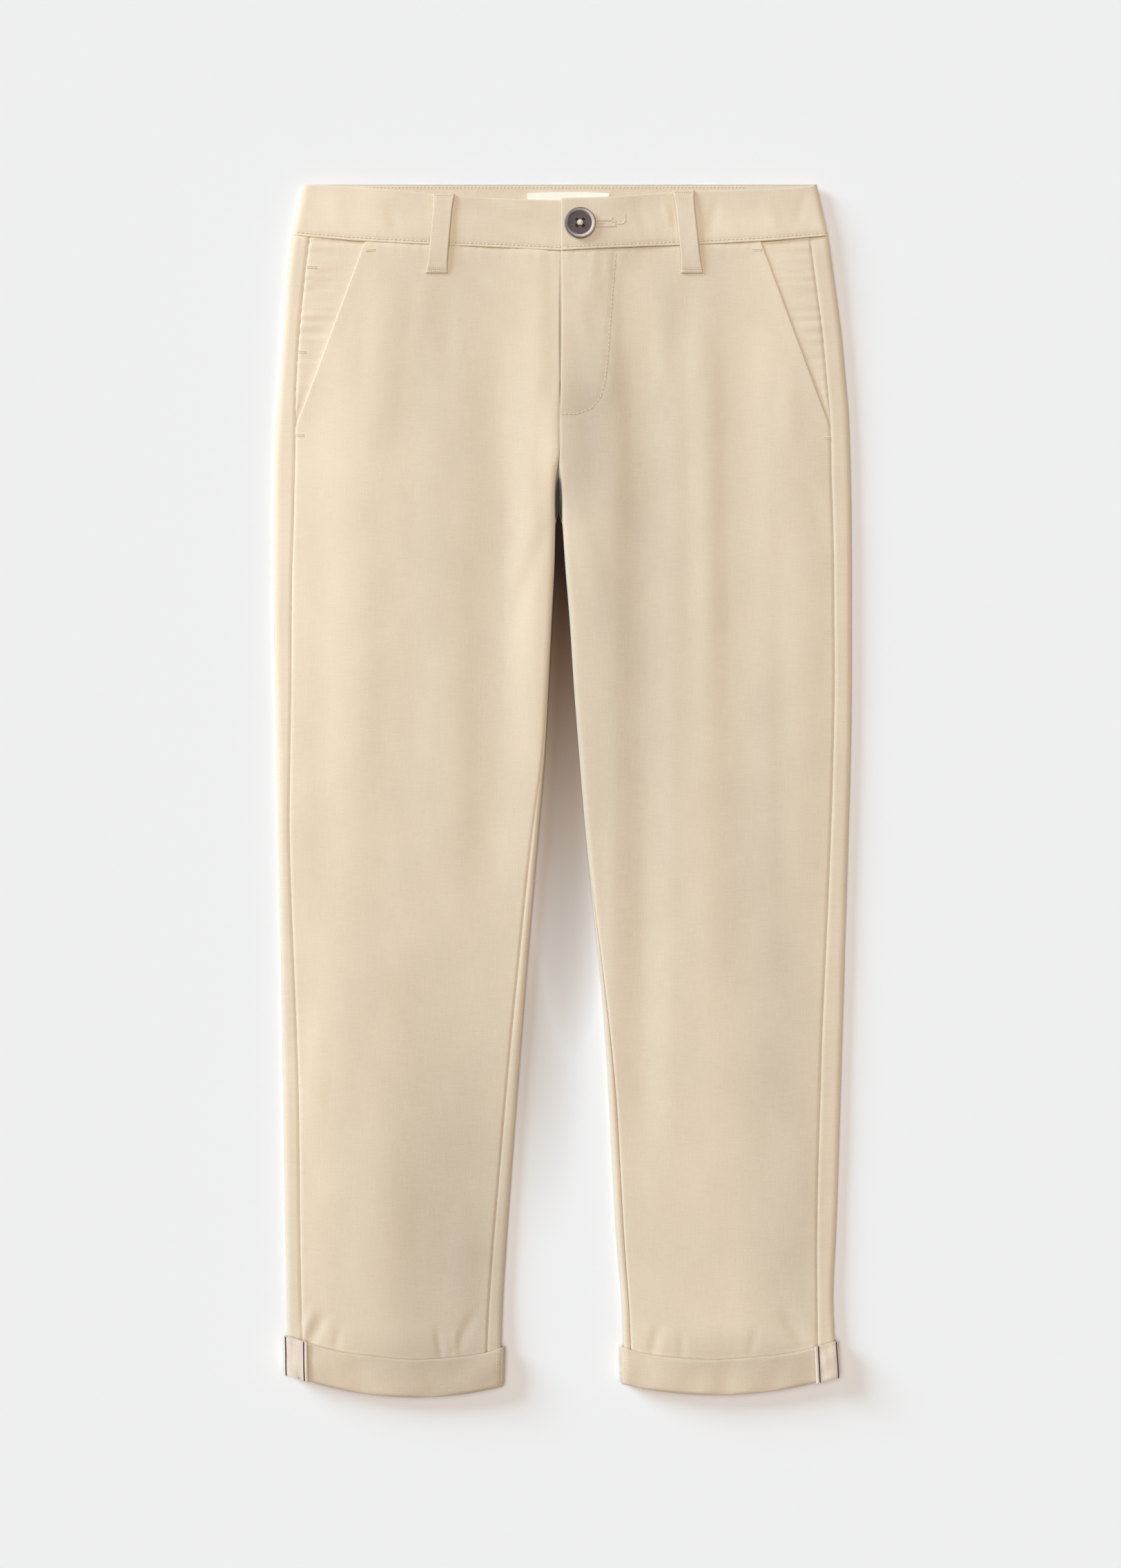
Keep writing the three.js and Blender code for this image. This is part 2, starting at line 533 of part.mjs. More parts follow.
// The turn-up's own section: "off" is how far outside the leg's outer side, and "up" from the fold.
function turnUpSection(height) {
  return [
    { off: GAP + 0.1, up: height - 0.5 },
    { off: 0.9, up: height },
    { off: 1.8, up: height },
    { off: TURN_UP_LIFT, up: height - 0.8 },
    { off: TURN_UP_LIFT, up: 1.3 },
    { off: 1.6, up: 0 },
    { off: -0.4, up: 0 },
    { off: -CLOTH, up: 0.5 },
    { off: -CLOTH, up: 1.6 },
    { off: GAP + 0.1, up: 1.6 },
  ];
}
function turnUp(leg) {
  const rings = turnUpSection(leg.turnUp).map(({ off, up }) =>
    hemRing(leg, HEM - up).map((p) => {
      const down = rowDown(leg, p.out, HEM - up, p.upper);
      return place(leg, p.out + p.nOut * off, down, p.z + p.nZ * off);
    }),
  );
  const n = rings.length;
  const count = rings[0].length;
  const faces = [];
  for (let i = 0; i < count; i += 1) {
    for (let j = 0; j < n; j += 1) {
      const a = i * n + j;
      const b = i * n + ((j + 1) % n);
      const c = ((i + 1) % count) * n + ((j + 1) % n);
      const d = ((i + 1) % count) * n + j;
      faces.push(...(leg.sign > 0 ? [a, b, c, a, c, d] : [a, c, b, a, d, c]));
    }
  }
  const points = rings[0].flatMap((_, i) => rings.map((ring) => ring[i]));
  const geometry = new THREE.BufferGeometry().setFromPoints(points);
  geometry.setIndex(faces);
  geometry.computeVertexNormals();
  return geometry;
}

// The open outseam's bound edges show on the turn-up as a tape.
function outseamTape(leg) {
  const off = TURN_UP_LIFT + GAP + 0.1 + THIN;
  const grid = steps(4).map((r) => {
    const row = HEM - leg.turnUp * (1 - r);
    const edge = { out: section(leg, "outline", row), inward: -1 };
    return steps(8).map((t) => {
      const along = TAPE.start + TAPE.width * t;
      const p = ringPoint(leg, row, edge, along);
      const next = ringPoint(leg, row, edge, along + 0.4);
      const run = Math.hypot(next.out - p.out, next.z - p.z);
      const out = p.out + (off * (next.z - p.z)) / run;
      return place(leg, out, rowDown(leg, p.out, row, 1), p.z - (off * (next.out - p.out)) / run);
    });
  });
  return wall(grid, THIN, leg.sign > 0);
}

function label() {
  const grid = [LABEL.top, LABEL.bottom].map((down) =>
    [LABEL.left, LABEL.right].map(
      (x) => new THREE.Vector3(x, LENGTH / 2 - down, LOOP_LIFT + BAND + GAP + THIN),
    ),
  );
  return wall(grid, THIN);
}

// A four-hole button with a raised rim: a turned disc, less its holes.
function solidOf(geometry) {
  const bare = geometry.clone();
  bare.deleteAttribute("normal");
  bare.deleteAttribute("uv");
  const merged = mergeVertices(bare);
  const vertProperties = merged.attributes.position.array;
  return new wasm.Manifold(new wasm.Mesh({ numProp: 3, vertProperties, triVerts: merged.index.array }));
}
function button() {
  const { radius, thick, rim, dish, hole, spacing } = BUTTON;
  const profile = [
    [0, 0],
    [radius - 1.4, 0],
    [radius - 0.2, 0.8],
    [radius, 1.8],
    [radius - 0.5, thick - 0.3],
    [radius - 1.2, thick],
    [radius - rim, thick - 0.4],
    [radius - rim - 0.5, thick - dish],
    [0, thick - dish],
  ].map(([r, z]) => new THREE.Vector2(r, z));
  const disc = new THREE.LatheGeometry(profile, 30).rotateX(Math.PI / 2);
  let body = solidOf(disc);
  for (const [dx, dy] of [[1, 1], [1, -1], [-1, -1], [-1, 1]]) {
    const drill = new THREE.CylinderGeometry(hole, hole, thick * 3, 10).rotateX(Math.PI / 2);
    drill.translate(dx * spacing, dy * spacing, 0);
    body = body.subtract(solidOf(drill));
  }
  const cut = body.getMesh();
  const geometry = new THREE.BufferGeometry();
  geometry.setAttribute("position", new THREE.BufferAttribute(cut.vertProperties, 3));
  geometry.setIndex([...cut.triVerts]);
  geometry.computeVertexNormals();
  const mesh = named("waist_button", geometry, HORN);
  mesh.position.set(BUTTON.x, LENGTH / 2 - BUTTON.down, BAND_TOP + BAND + 2 * GAP);
  return mesh;
}

const trousers = new THREE.Group();
for (const [side, leg] of Object.entries(LEGS)) {
  trousers.add(named(`front_${side}`, front(leg), TWILL));
  trousers.add(named(`back_${side}`, back(leg), TWILL));
  trousers.add(named(`pocket_facing_${side}`, pocketFacing(leg), TWILL));
  trousers.add(named(`waistband_${side}`, waistband(leg), TWILL));
  trousers.add(named(`turn_up_${side}`, turnUp(leg), INNER_TWILL));
  trousers.add(named(`outseam_tape_${side}`, outseamTape(leg), TAPE_COTTON));
}
for (const loop of LOOPS) trousers.add(named(loop.name, beltLoop(loop), TWILL));
trousers.add(named("fly_shield", flyShield(), TWILL));
trousers.add(named("waist_label", label(), LABEL_COTTON));
trousers.add(button());

export default trousers;
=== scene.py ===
"""A child's chino trousers, laid flat: the cloth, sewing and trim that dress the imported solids."""

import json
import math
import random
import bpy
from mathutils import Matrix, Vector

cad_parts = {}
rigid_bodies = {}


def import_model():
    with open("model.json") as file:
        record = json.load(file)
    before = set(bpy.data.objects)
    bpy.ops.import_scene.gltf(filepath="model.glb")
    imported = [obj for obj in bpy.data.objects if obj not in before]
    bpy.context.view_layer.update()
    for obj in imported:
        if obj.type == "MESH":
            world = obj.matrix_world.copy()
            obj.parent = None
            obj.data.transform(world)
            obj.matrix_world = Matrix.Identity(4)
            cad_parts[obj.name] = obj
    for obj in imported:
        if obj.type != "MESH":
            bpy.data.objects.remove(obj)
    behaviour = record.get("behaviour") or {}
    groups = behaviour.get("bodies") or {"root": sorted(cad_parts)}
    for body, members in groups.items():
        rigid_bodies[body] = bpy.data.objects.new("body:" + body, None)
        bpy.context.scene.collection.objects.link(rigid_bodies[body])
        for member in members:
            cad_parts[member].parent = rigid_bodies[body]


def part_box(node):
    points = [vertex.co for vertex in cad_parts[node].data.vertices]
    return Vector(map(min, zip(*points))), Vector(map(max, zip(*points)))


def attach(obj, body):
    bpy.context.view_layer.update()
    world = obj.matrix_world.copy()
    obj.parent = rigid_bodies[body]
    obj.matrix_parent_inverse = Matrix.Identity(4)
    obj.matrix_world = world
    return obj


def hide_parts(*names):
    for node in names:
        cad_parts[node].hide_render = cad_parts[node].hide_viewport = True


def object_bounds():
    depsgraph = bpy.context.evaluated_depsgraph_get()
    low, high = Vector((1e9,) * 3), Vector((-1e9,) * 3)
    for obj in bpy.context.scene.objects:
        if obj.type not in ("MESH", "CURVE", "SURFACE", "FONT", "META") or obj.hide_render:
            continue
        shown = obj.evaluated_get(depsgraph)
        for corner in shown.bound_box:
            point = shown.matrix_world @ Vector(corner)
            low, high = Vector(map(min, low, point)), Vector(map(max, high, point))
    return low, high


bl_info = {
    "name": "Flat Chino Trousers",
    "version": (1, 0, 0),
    "blender": (4, 5, 0),
    "location": "View3D > Sidebar > Trousers",
    "description": "Dresses the solids of a pair of chino trousers, laid flat, in cloth and sewing",
    "category": "Add Mesh",
}

from collections import namedtuple

import bmesh
import bpy
import numpy as np
from bpy.props import FloatProperty, FloatVectorProperty, PointerProperty
from bpy.types import Operator, Panel, PropertyGroup
from mathutils import Matrix, Vector
from mathutils.bvhtree import BVHTree

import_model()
CAD_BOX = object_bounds()

# The pattern's tables and the sizes beside them are in millimetres, as a cutter's are.
# "down" is the distance below the waist's top edge, and "out" the distance from the middle
# towards a leg's own side. The wearer's right leg is at -X.
MM = 0.001
LENGTH = (CAD_BOX[1].y - CAD_BOX[0].y) / MM
CLOTH = 1.2
PANEL_CLOTH = 0.6
BAND = 1.6
GAP = 0.3
SEAT_SEAM = 30
HEM = 697
LOOP_LIFT = 1.4
TURN_UP_LIFT = 2.5
BAND_TOP = 6.6
EDGE_ROLL = 3.2
BACK_SETTLES = (50, 78)
HEM_LIFTS = (640, 674)
CROWN_SPAN = {"side": 40, "inner": 30}
FOLD_CLEARANCE = (3, 16)
WAIST_BEND_END = 130
HEM_BEND = (540, 680)
UNDERSIDE_SAG = 0.35
PANEL_TOP = 29.2
PANEL_LENGTH = 665.8
SEAM_OPEN = 0.04

Section = namedtuple("Section", "down outline outseam inseam inner")
RIGHT_SECTIONS = [
    Section(30, 156.9, 146.7, 1.1, 1.1),
    Section(53, 159.5, 149.5, 0.7, 0.7),
    Section(85, 161.9, 152.7, 0.7, 0.7),
    Section(117, 164.5, 154.7, 1.3, 1.3),
    Section(133, 165.7, 155.1, 2.1, 2.1),
    Section(152, 166.7, 155.1, 1.8, 1.8),
    Section(170, 167.3, 155.5, 3.6, 3.6),
    Section(178, 167.4, 155.7, 4.2, 4.2),
    Section(192, 167.5, 155.9, 4.3, 4.3),
    Section(221, 167.5, 156.9, 4.9, 4.9),
    Section(253, 167.5, 157.3, 6.5, 6.5),
    Section(293, 166.7, 157.5, 8.6, 8.5),
    Section(333, 165.9, 158.1, 11.6, 10.7),
    Section(373, 165.1, 158.5, 17.2, 13.9),
    Section(413, 164.3, 157.5, 21.7, 17.3),
    Section(453, 163.5, 155.9, 25.7, 20.7),
    Section(493, 162.7, 154.3, 29.7, 23.9),
    Section(533, 162.1, 153.1, 33.3, 26.9),
    Section(573, 161.5, 152.7, 36.7, 29.8),
    Section(613, 160.9, 152.3, 40.1, 32.6),
    Section(653, 160.1, 151.5, 42.9, 35.0),
    Section(697, 159.1, 150.1, 44.7, 36.5),
]
LEFT_SECTIONS = [
    Section(30, 153.7, 142.9, -1.1, -1.1),
    Section(53, 156.9, 145.9, -0.7, -0.7),
    Section(85, 161.3, 150.1, -0.7, -0.7),
    Section(117, 164.3, 153.1, -1.3, -1.3),
    Section(133, 165.7, 154.5, -2.1, -2.1),
    Section(152, 166.4, 155.3, -1.8, -1.8),
    Section(170, 166.9, 155.5, -2.7, -2.7),
    Section(178, 167.1, 155.8, -2.2, -2.2),
    Section(192, 167.3, 156.3, -0.7, -0.7),
    Section(221, 167.5, 156.9, 1.3, 1.3),
    Section(253, 167.5, 157.1, 3.9, 3.9),
    Section(293, 167.5, 157.3, 6.6, 6.5),
    Section(333, 166.9, 156.5, 9.7, 9.6),
    Section(373, 165.7, 155.3, 13.1, 12.9),
    Section(413, 164.5, 153.7, 17.5, 16.9),
    Section(453, 163.3, 151.9, 22.6, 21.1),
    Section(493, 162.1, 150.1, 27.2, 24.4),
    Section(533, 160.9, 148.9, 30.9, 26.9),
    Section(573, 159.7, 147.7, 33.1, 28.9),
    Section(613, 158.3, 147.1, 35.3, 31.1),
    Section(653, 156.7, 147.3, 38.1, 34.3),
    Section(697, 158.3, 147.5, 39.9, 35.7),
]
Leg = namedtuple("Leg", "side sign sections outer inner sag turn_up")
RIGHT = Leg("right", -1, RIGHT_SECTIONS, 689.6, 697.0, 9.0, 22.2)
LEFT = Leg("left", 1, LEFT_SECTIONS, 691.0, 695.4, 8.0, 20.8)
LEGS = (RIGHT, LEFT)

WaistDip = namedtuple("WaistDip", "out right_top left_top seam")
WAIST_DIP = [
    WaistDip(0, 9.8, 8.8, 39.0),
    WaistDip(27, 9.0, 7.8, 37.7),
    WaistDip(64, 6.9, 4.9, 36.1),
    WaistDip(88, 4.5, 3.9, 35.0),
    WaistDip(120, 2.1, 3.0, 33.3),
    WaistDip(142, 0.7, 1.6, 31.5),
    WaistDip(147, 0.5, 0.1, 31.1),
    WaistDip(157, 0.0, 0.0, 30.0),
]
Face = namedtuple("Face", "down edge crown")
UPPER_FACE = [
    Face(30, 6.4, 0.0),
    Face(52, 6.3, 0.0),
    Face(80, 5.6, 0.2),
    Face(120, 4.9, 0.5),
    Face(200, 4.8, 0.6),
    Face(620, 4.8, 0.5),
    Face(655, 5.3, 0.7),
    Face(680, 6.1, 1.1),
    Face(697, 6.1, 1.2),
]

# Soft folds and creases, each from one place to another. The first are the solids' own.
Fold = namedtuple("Fold", "x0 down0 x1 down1 half rise")
FOLD_END = 70
CREASE_ENDS = {"start": (-0.15, 0.4), "stop": (0.6, 1.15)}
FOLDS = [
    Fold(-121, 40, -120, 400, 24, 0.5),
    Fold(-94, 90, -97, 420, 22, -0.6),
    Fold(-66, 70, -68, 420, 22, 0.4),
    Fold(-41, 60, -37, 440, 24, -1.6),
    Fold(-11, 120, -26, 440, 18, 0.5),
    Fold(-122, 400, -122, 680, 36, 0.6),
    Fold(-62, 420, -60, 680, 46, -1.1),
    Fold(18, 50, 24, 400, 20, 0.4),
    Fold(49, 50, 44, 580, 19, -1.6),
    Fold(82, 70, 80, 560, 26, 0.4),
    Fold(102, 60, 101, 520, 20, -0.9),
    Fold(133, 60, 130, 640, 24, 0.4),
]
CREASES = [
    Fold(-70, 56, -66, 120, 9, -0.35),
    Fold(-80, 54, -84, 100, 7, 0.25),
    Fold(72, 54, 66, 140, 10, -0.4),
    Fold(18, 40, 16, 72, 9, 0.6),
    Fold(8, 60, 16, 100, 6, 0.3),
    Fold(2, 43, 15, 50, 3.5, 0.35),
    Fold(22, 42, 21, 57, 4, -0.35),
    Fold(-62, 44, -40, 58, 6, -0.4),
    Fold(136, 172, 150, 188, 5, -0.3),
    Fold(132, 184, 148, 200, 5, 0.25),
    Fold(-4, 176, -36, 240, 9, 0.25),
    Fold(-6, 184, -30, 262, 7, -0.3),
    Fold(2, 176, 26, 250, 9, 0.4),
    Fold(-150, 49, -128, 47, 5, 0.3),
    Fold(-151, 62, -132, 59, 5, -0.35),
    Fold(-152, 76, -130, 73, 6, 0.3),
    Fold(-153, 88, -136, 86, 5, -0.3),
    Fold(-154, 118, -142, 116, 5, 0.25),
    Fold(150, 66, 134, 63, 5, -0.3),
    Fold(152, 84, 138, 82, 6, 0.3),
    Fold(-137, 654, -149, 676, 5, -1.0),
    Fold(-144, 650, -151, 668, 4, 0.6),
    Fold(-129, 662, -132, 676, 4, -0.6),
    Fold(-73, 662, -70, 682, 3.5, -0.8),
    Fold(-62, 664, -62, 682, 3, 0.5),
    Fold(-50, 652, -64, 680, 5, -0.7),
    Fold(56, 660, 50, 684, 5, -0.7),
    Fold(68, 664, 70, 682, 4, -0.5),
    Fold(126, 654, 141, 672, 5, -0.9),
    Fold(134, 650, 146, 664, 4, 0.5),
    Fold(112, 662, 108, 680, 4, -0.4),
]
# Broad soft folds, which fade below the waistband and above the turn-ups.
SOFT_FOLDS = [
    Fold(-150, 180, -148, 420, 14, 0.4),
    Fold(-124, 110, -122, 520, 22, 0.5),
    Fold(-102, 50, -106, 160, 14, 0.7),
    Fold(-84, 200, -80, 420, 20, -0.4),
    Fold(-50, 80, -47, 250, 16, 0.8),
    Fold(-9, 60, -4, 172, 18, 0.8),
    Fold(-140, 470, -146, 560, 10, 0.4),
    Fold(-108, 540, -104, 670, 24, 0.8),
    Fold(-56, 590, -60, 670, 12, 0.4),
    Fold(24, 80, 30, 210, 14, 0.9),
    Fold(36, 300, 34, 600, 14, 0.6),
    Fold(57, 56, 58, 120, 8, 0.4),
    Fold(82, 60, 86, 330, 12, 0.9),
    Fold(96, 400, 100, 560, 22, 0.8),
    Fold(131, 105, 131, 160, 9, 0.45),
    Fold(139, 180, 141, 460, 16, 0.7),
    Fold(134, 520, 133, 650, 18, 0.7),
]
BAND_CREASES = [
    Fold(-60, 4, -14, 22, 6, -0.45),
    Fold(-44, 2, -18, 9, 4, 0.3),
    Fold(-101, 7, -95, 27, 6, -0.35),
    Fold(-134, 5, -128, 24, 7, 0.3),
    Fold(42, 3, 50, 25, 5, -0.3),
    Fold(58, 4, 62, 18, 3, 0.35),
    Fold(64, 8, 66, 25, 3, -0.35),
    Fold(90, 4, 84, 25, 5, -0.35),
    Fold(116, 6, 126, 26, 6, 0.35),
    Fold(140, 3, 136, 22, 5, -0.3),
]
SOFT_FROM = (38, 64)
SOFT_TO = (648, 676)

Pocket = namedtuple("Pocket", "top_out top_down bottom_out bottom_down under")
POCKET = Pocket(115, 34.3, 155.2, 142, 12)
Fly = namedtuple("Fly", "lap lap_end relief_end placket drop rise")
FLY = Fly(3, 116, 135, 30, 0.7, 0.9)
Crotch = namedtuple("Crotch", "front_parts front_rolled back_parts back_rolled forks")
CROTCH = Crotch(158, 172, 168, 184, 190)
UNDERLAP = 26
Point = namedtuple("Point", "x down")
FLY_STITCH = [
    Point(30.9, 40.2),
    Point(29.6, 53.4),
    Point(27.8, 77.4),
    Point(26.0, 101.4),
    Point(24.6, 114.0),
    Point(21.8, 124.2),
    Point(16.6, 130.4),
    Point(8.2, 133.4),
    Point(-0.8, 133.8),
]

Loop = namedtuple("Loop", "name x0 x1 upper")
LOOPS = [
    Loop("belt_loop_front_right", -68.9, -73.1, True),
    Loop("belt_loop_front_left", 69.6, 74.8, True),
    Loop("belt_loop_back_right", -82, -84, False),
    Loop("belt_loop_back_left", 82, 84, False),
    Loop("belt_loop_back_centre", 0, 0, False),
]
LOOP_END = 52.2
LOOP_WAIST = 11
LOOP_FLARE = 13
LOOP_THICK = 1.1
LOOP_BOW = 1.0
BUTTON_AT = Point(10.0, 23.3)
SHIELD = {"left": -22, "right": 15, "top": 40, "bottom": 114}
LABEL = {"left": -20.7, "right": 26.9, "top": 4.6, "bottom": 27}
TAPE_START = 1.5
TAPE_WIDTH = 11.2

# Distances from a piece's edge of its first rows of points, so that an edge can be round.
EDGE_STEPS = [0, 0.15, 0.35, 0.6, 0.95, 1.4, 2.0, 2.8, 3.9, 5.4]
EDGE_ROUND = 0.7


# Plain maths on numpy arrays.
def smooth(low, high, value):
    t = np.clip((value - low) / (high - low), 0, 1)
    return t * t * (3 - 2 * t)


def mix(a, b, t):
    return a + (b - a) * t


def curve(rows, column, at, key="down"):
    """A column of a table at any place, as a smooth curve through its rows."""
    keys = np.array([getattr(r, key) for r in rows], float)
    values = np.array([getattr(r, column) for r in rows], float)
    last = len(rows) - 1
    at = np.clip(at, keys[0], keys[-1])
    i = np.clip(np.searchsorted(keys, at) - 1, 0, last - 1)
    before = np.maximum(np.arange(last + 1) - 1, 0)
    after = np.minimum(np.arange(last + 1) + 1, last)
    slopes = (values[after] - values[before]) / (keys[after] - keys[before])
    step = keys[i + 1] - keys[i]
    t = (at - keys[i]) / step
    ends = values[i] * (1 - 3 * t**2 + 2 * t**3) + values[i + 1] * (3 * t**2 - 2 * t**3)
    return ends + step * (slopes[i] * (t - 2 * t**2 + t**3) + slopes[i + 1] * (t**3 - t**2))


def spread(index, count, length):
    """Places along a length: close together at both ends, and even between them."""
    steps = np.array(EDGE_STEPS)
    n = len(steps)
    index = np.asarray(index)
    near = steps[np.clip(index, 0, n - 1).astype(int)]
    far = length - steps[np.clip(count - index, 0, n - 1).astype(int)]
    share = (index - (n - 1)) / (count - 2 * (n - 1))
    between = mix(steps[-1], length - steps[-1], share)
    return np.where(index < n, near, np.where(count - index < n, far, between))


def polyline_distance(x, down, points):
    """How far each place is from a line through the points."""
    nearest = np.full(np.shape(x), 1e9)
    for a, b in zip(points, points[1:]):
        run = np.array([b.x - a.x, b.down - a.down])
        t = np.clip(((x - a.x) * run[0] + (down - a.down) * run[1]) / (run @ run), 0, 1)
        away = np.hypot(x - a.x - t * run[0], down - a.down - t * run[1])
        nearest = np.minimum(nearest, away)
    return nearest


# The form of the flattened tubes, which the solids share.
def section(leg, column, down):
    return curve(leg.sections, column, down)


def centre_front(down):
    return section(LEFT, "inner", np.minimum(down, 165))


def lower_face(down):
    return LOOP_LIFT * (1 - smooth(*BACK_SETTLES, down)) + TURN_UP_LIFT * smooth(*HEM_LIFTS, down)


def upper_edge(down):
    return curve(UPPER_FACE, "edge", down)


def folds_at(x, down):
    total = np.zeros(np.shape(x))
    for f in FOLDS:
        t = np.clip((down - f.down0) / (f.down1 - f.down0), 0, 1)
        away = np.abs(x - mix(f.x0, f.x1, t)) / f.half
        ends = smooth(f.down0, f.down0 + FOLD_END, down) * (1 - smooth(f.down1 - FOLD_END, f.down1, down))
        total += f.rise * ends * np.clip(1 - away**2, 0, 1) ** 2
    return total


def creases_at(x, down, table):
    """Creases that run any way and fade at their ends."""
    total = np.zeros(np.shape(x))
    for c in table:
        run = np.array([c.x1 - c.x0, c.down1 - c.down0])
        long = math.hypot(*run)
        t = ((x - c.x0) * run[0] + (down - c.down0) * run[1]) / long**2
        away = np.abs((x - c.x0) * run[1] - (down - c.down0) * run[0]) / long / c.half
        ends = smooth(*CREASE_ENDS["start"], t) * (1 - smooth(*CREASE_ENDS["stop"], t))
        total += c.rise * ends * np.clip(1 - away**2, 0, 1) ** 2
    return total


def uneven(x, down, seed=1, shortest=16, longest=90, slope=0.010):
    """Cloth never lies quite flat: a sum of faint waves that run every way."""
    dice = random.Random(seed)
    total = np.zeros(np.shape(x))
    for _ in range(16):
        wave = dice.uniform(shortest, longest)
        turn = dice.uniform(0, math.pi)
        phase = dice.uniform(0, 2 * math.pi)
        across = x * math.cos(turn) + down * math.sin(turn) * 0.6
        total += slope * wave / (2 * math.pi) * np.sin(2 * math.pi * across / wave + phase)
    return total


def puckers(along, away, reach, rise, seed):
    """Ripples that sewing draws up beside a seam."""
    dice = random.Random(seed)
    waves = [(dice.uniform(4.5, 9), dice.uniform(0, 6.28)) for _ in range(4)]
    ripple = sum(np.sin(2 * math.pi * along / wave + phase) for wave, phase in waves) / 2
    return rise * ripple * np.exp(-((away / reach) ** 2))


def groove(away, depth, half):
    return -depth * np.exp(-((away / half) ** 2))


# How a seam draws in the cloth: its groove, and the ripples beside it.
DrawnIn = namedtuple("DrawnIn", "depth half reach rise seed")
OUTSEAM_DRAWN = DrawnIn(0.5, 1.0, 4.5, 0.10, 3)
INSEAM_DRAWN = DrawnIn(0.35, 0.9, 3.5, 0.08, 4)
WAIST_DRAWN = DrawnIn(0.35, 1.6, 7, 0.10, 5)
BAND_DRAWN = DrawnIn(0.3, 0.7, 3.5, 0.07, 8)
INSEAM_SHOWS = (250, 420)


def drawn_in(seam, along, away):
    ripples = puckers(along, away, seam.reach, seam.rise, seam.seed)
    return groove(away, seam.depth, seam.half) + ripples


def cloth_relief(leg, out, down):
    """What the cloth adds to the solids' upper face: creases, unevenness and drawn-in seams."""
    x = leg.sign * out
    seam = section(leg, "outseam", down) - out
    inner = out - section(leg, "inseam", down)
    waist = down - waist_seam(out, 1)
    clear = smooth(*SOFT_FROM, down) * (1 - smooth(*SOFT_TO, down))
    relief = creases_at(x, down, CREASES) + creases_at(x, down, SOFT_FOLDS) * clear
    relief += uneven(x, down, slope=0.006)
    relief += drawn_in(OUTSEAM_DRAWN, down, seam)
    relief += drawn_in(INSEAM_DRAWN, down, inner) * smooth(*INSEAM_SHOWS, down)
    relief += drawn_in(WAIST_DRAWN, x, waist)
    above_turn_up = down - hem_fold(leg, out, 1) + leg.turn_up
    relief += groove(above_turn_up, 0.5, 1.3)
    if leg is LEFT:
        relief += groove(polyline_distance(x, down, FLY_STITCH), 0.4, 0.8)
    return relief


def crown(leg, out, down, parted=1):
    """How the cloth domes between a leg's edges. The inner edge counts where the legs have parted."""
    from_side = (section(leg, "outline", down) - out) / CROWN_SPAN["side"]
    from_inner = (out - section(leg, "inner", down)) / CROWN_SPAN["inner"]
    at_side, at_inner = (np.sin(math.pi / 2 * np.clip(t, 0, 1)) for t in (from_side, from_inner))
    return curve(UPPER_FACE, "crown", down) * at_side * mix(1, at_inner, parted)


# How far the cloth dips to pass under the band, and from where to where beside the seam.
BAND_TUCK = 1.7
BAND_TUCK_RUN = (0.3, -1.0)


def upper_face(leg, out, down):
    parted = smooth(CROTCH.front_parts, CROTCH.back_rolled, down)
    in_from_edges = smooth(*FOLD_CLEARANCE, section(leg, "outline", down) - out)
    folds = folds_at(leg.sign * out, down) * in_from_edges
    under_band = BAND_TUCK * smooth(*BAND_TUCK_RUN, down - waist_seam(out, 1))
    smoothed = upper_edge(down) + crown(leg, out, down, parted) + folds
    return smoothed + cloth_relief(leg, out, down) - under_band


# Where the right front sinks beside the fly, where the left front's placket ends, both from the
# centre front, and how the cloth rises to the band where the band's lap raises it.
FLY_SINKS = (-14, -4)
PLACKET_ENDS = (FLY.placket - 4, FLY.placket + 6)
LAP_SHARE = 0.6
LAP_REACH = 9


def front_face(leg, out, down):
    relief = 1 - smooth(FLY.lap_end, FLY.relief_end, down)
    past = leg.sign * out - centre_front(down)
    if leg is RIGHT:
        step = -FLY.drop * smooth(*FLY_SINKS, past)
    else:
        step = FLY.rise * (1 - smooth(*PLACKET_ENDS, past))
        near_band = -groove(down - waist_seam(out, 1), 1, LAP_REACH)
        step = np.maximum(step, LAP_SHARE * band_lap(out) * near_band)
    return upper_face(leg, out, down) + step * relief


def waist_seam(out, upper):
    return mix(SEAT_SEAM, curve(WAIST_DIP, "seam", np.abs(out), "out"), upper)


def hem_fold(leg, out, upper):
    outline = section(leg, "outline", HEM)
    t = np.clip((outline - out) / (outline - section(leg, "inner", HEM)), 0, 1)
    return mix(leg.outer, leg.inner, t) + leg.sag * mix(UNDERSIDE_SAG, 1, upper) * (1 - (2 * t - 1) ** 2)


def row_down(leg, out, row, upper):
    at_waist = (waist_seam(out, upper) - SEAT_SEAM) * (1 - smooth(SEAT_SEAM, WAIST_BEND_END, row))
    at_hem = (hem_fold(leg, out, upper) - HEM) * smooth(*HEM_BEND, row)
    return row + at_waist + at_hem


def edge_roll(down):
    """The half ellipse that a flattened tube makes at its edge: its radius and its length."""
    rise = (upper_edge(down) - lower_face(down)) / 2
    radius = np.minimum(EDGE_ROLL, rise**2 / (CLOTH + 0.15))
    return radius, math.pi / 2 * np.hypot(radius, rise) * math.sqrt(0.5)


def rolled(along, roll, amount):
    radius, length = roll
    far = np.abs(along)
    turn = math.pi / 2 * np.minimum(far / length, 1)
    inset = radius * (1 - np.cos(turn)) + np.maximum(far - length, 0)
    return mix(far, inset, amount), mix(1, np.sin(turn), amount)


def along_for(inset, roll):
    radius, length = roll
    turn = np.arccos(1 - np.clip(inset / radius, 0, 1))
    return np.where(inset >= radius, length + inset - radius, length * turn / (math.pi / 2))


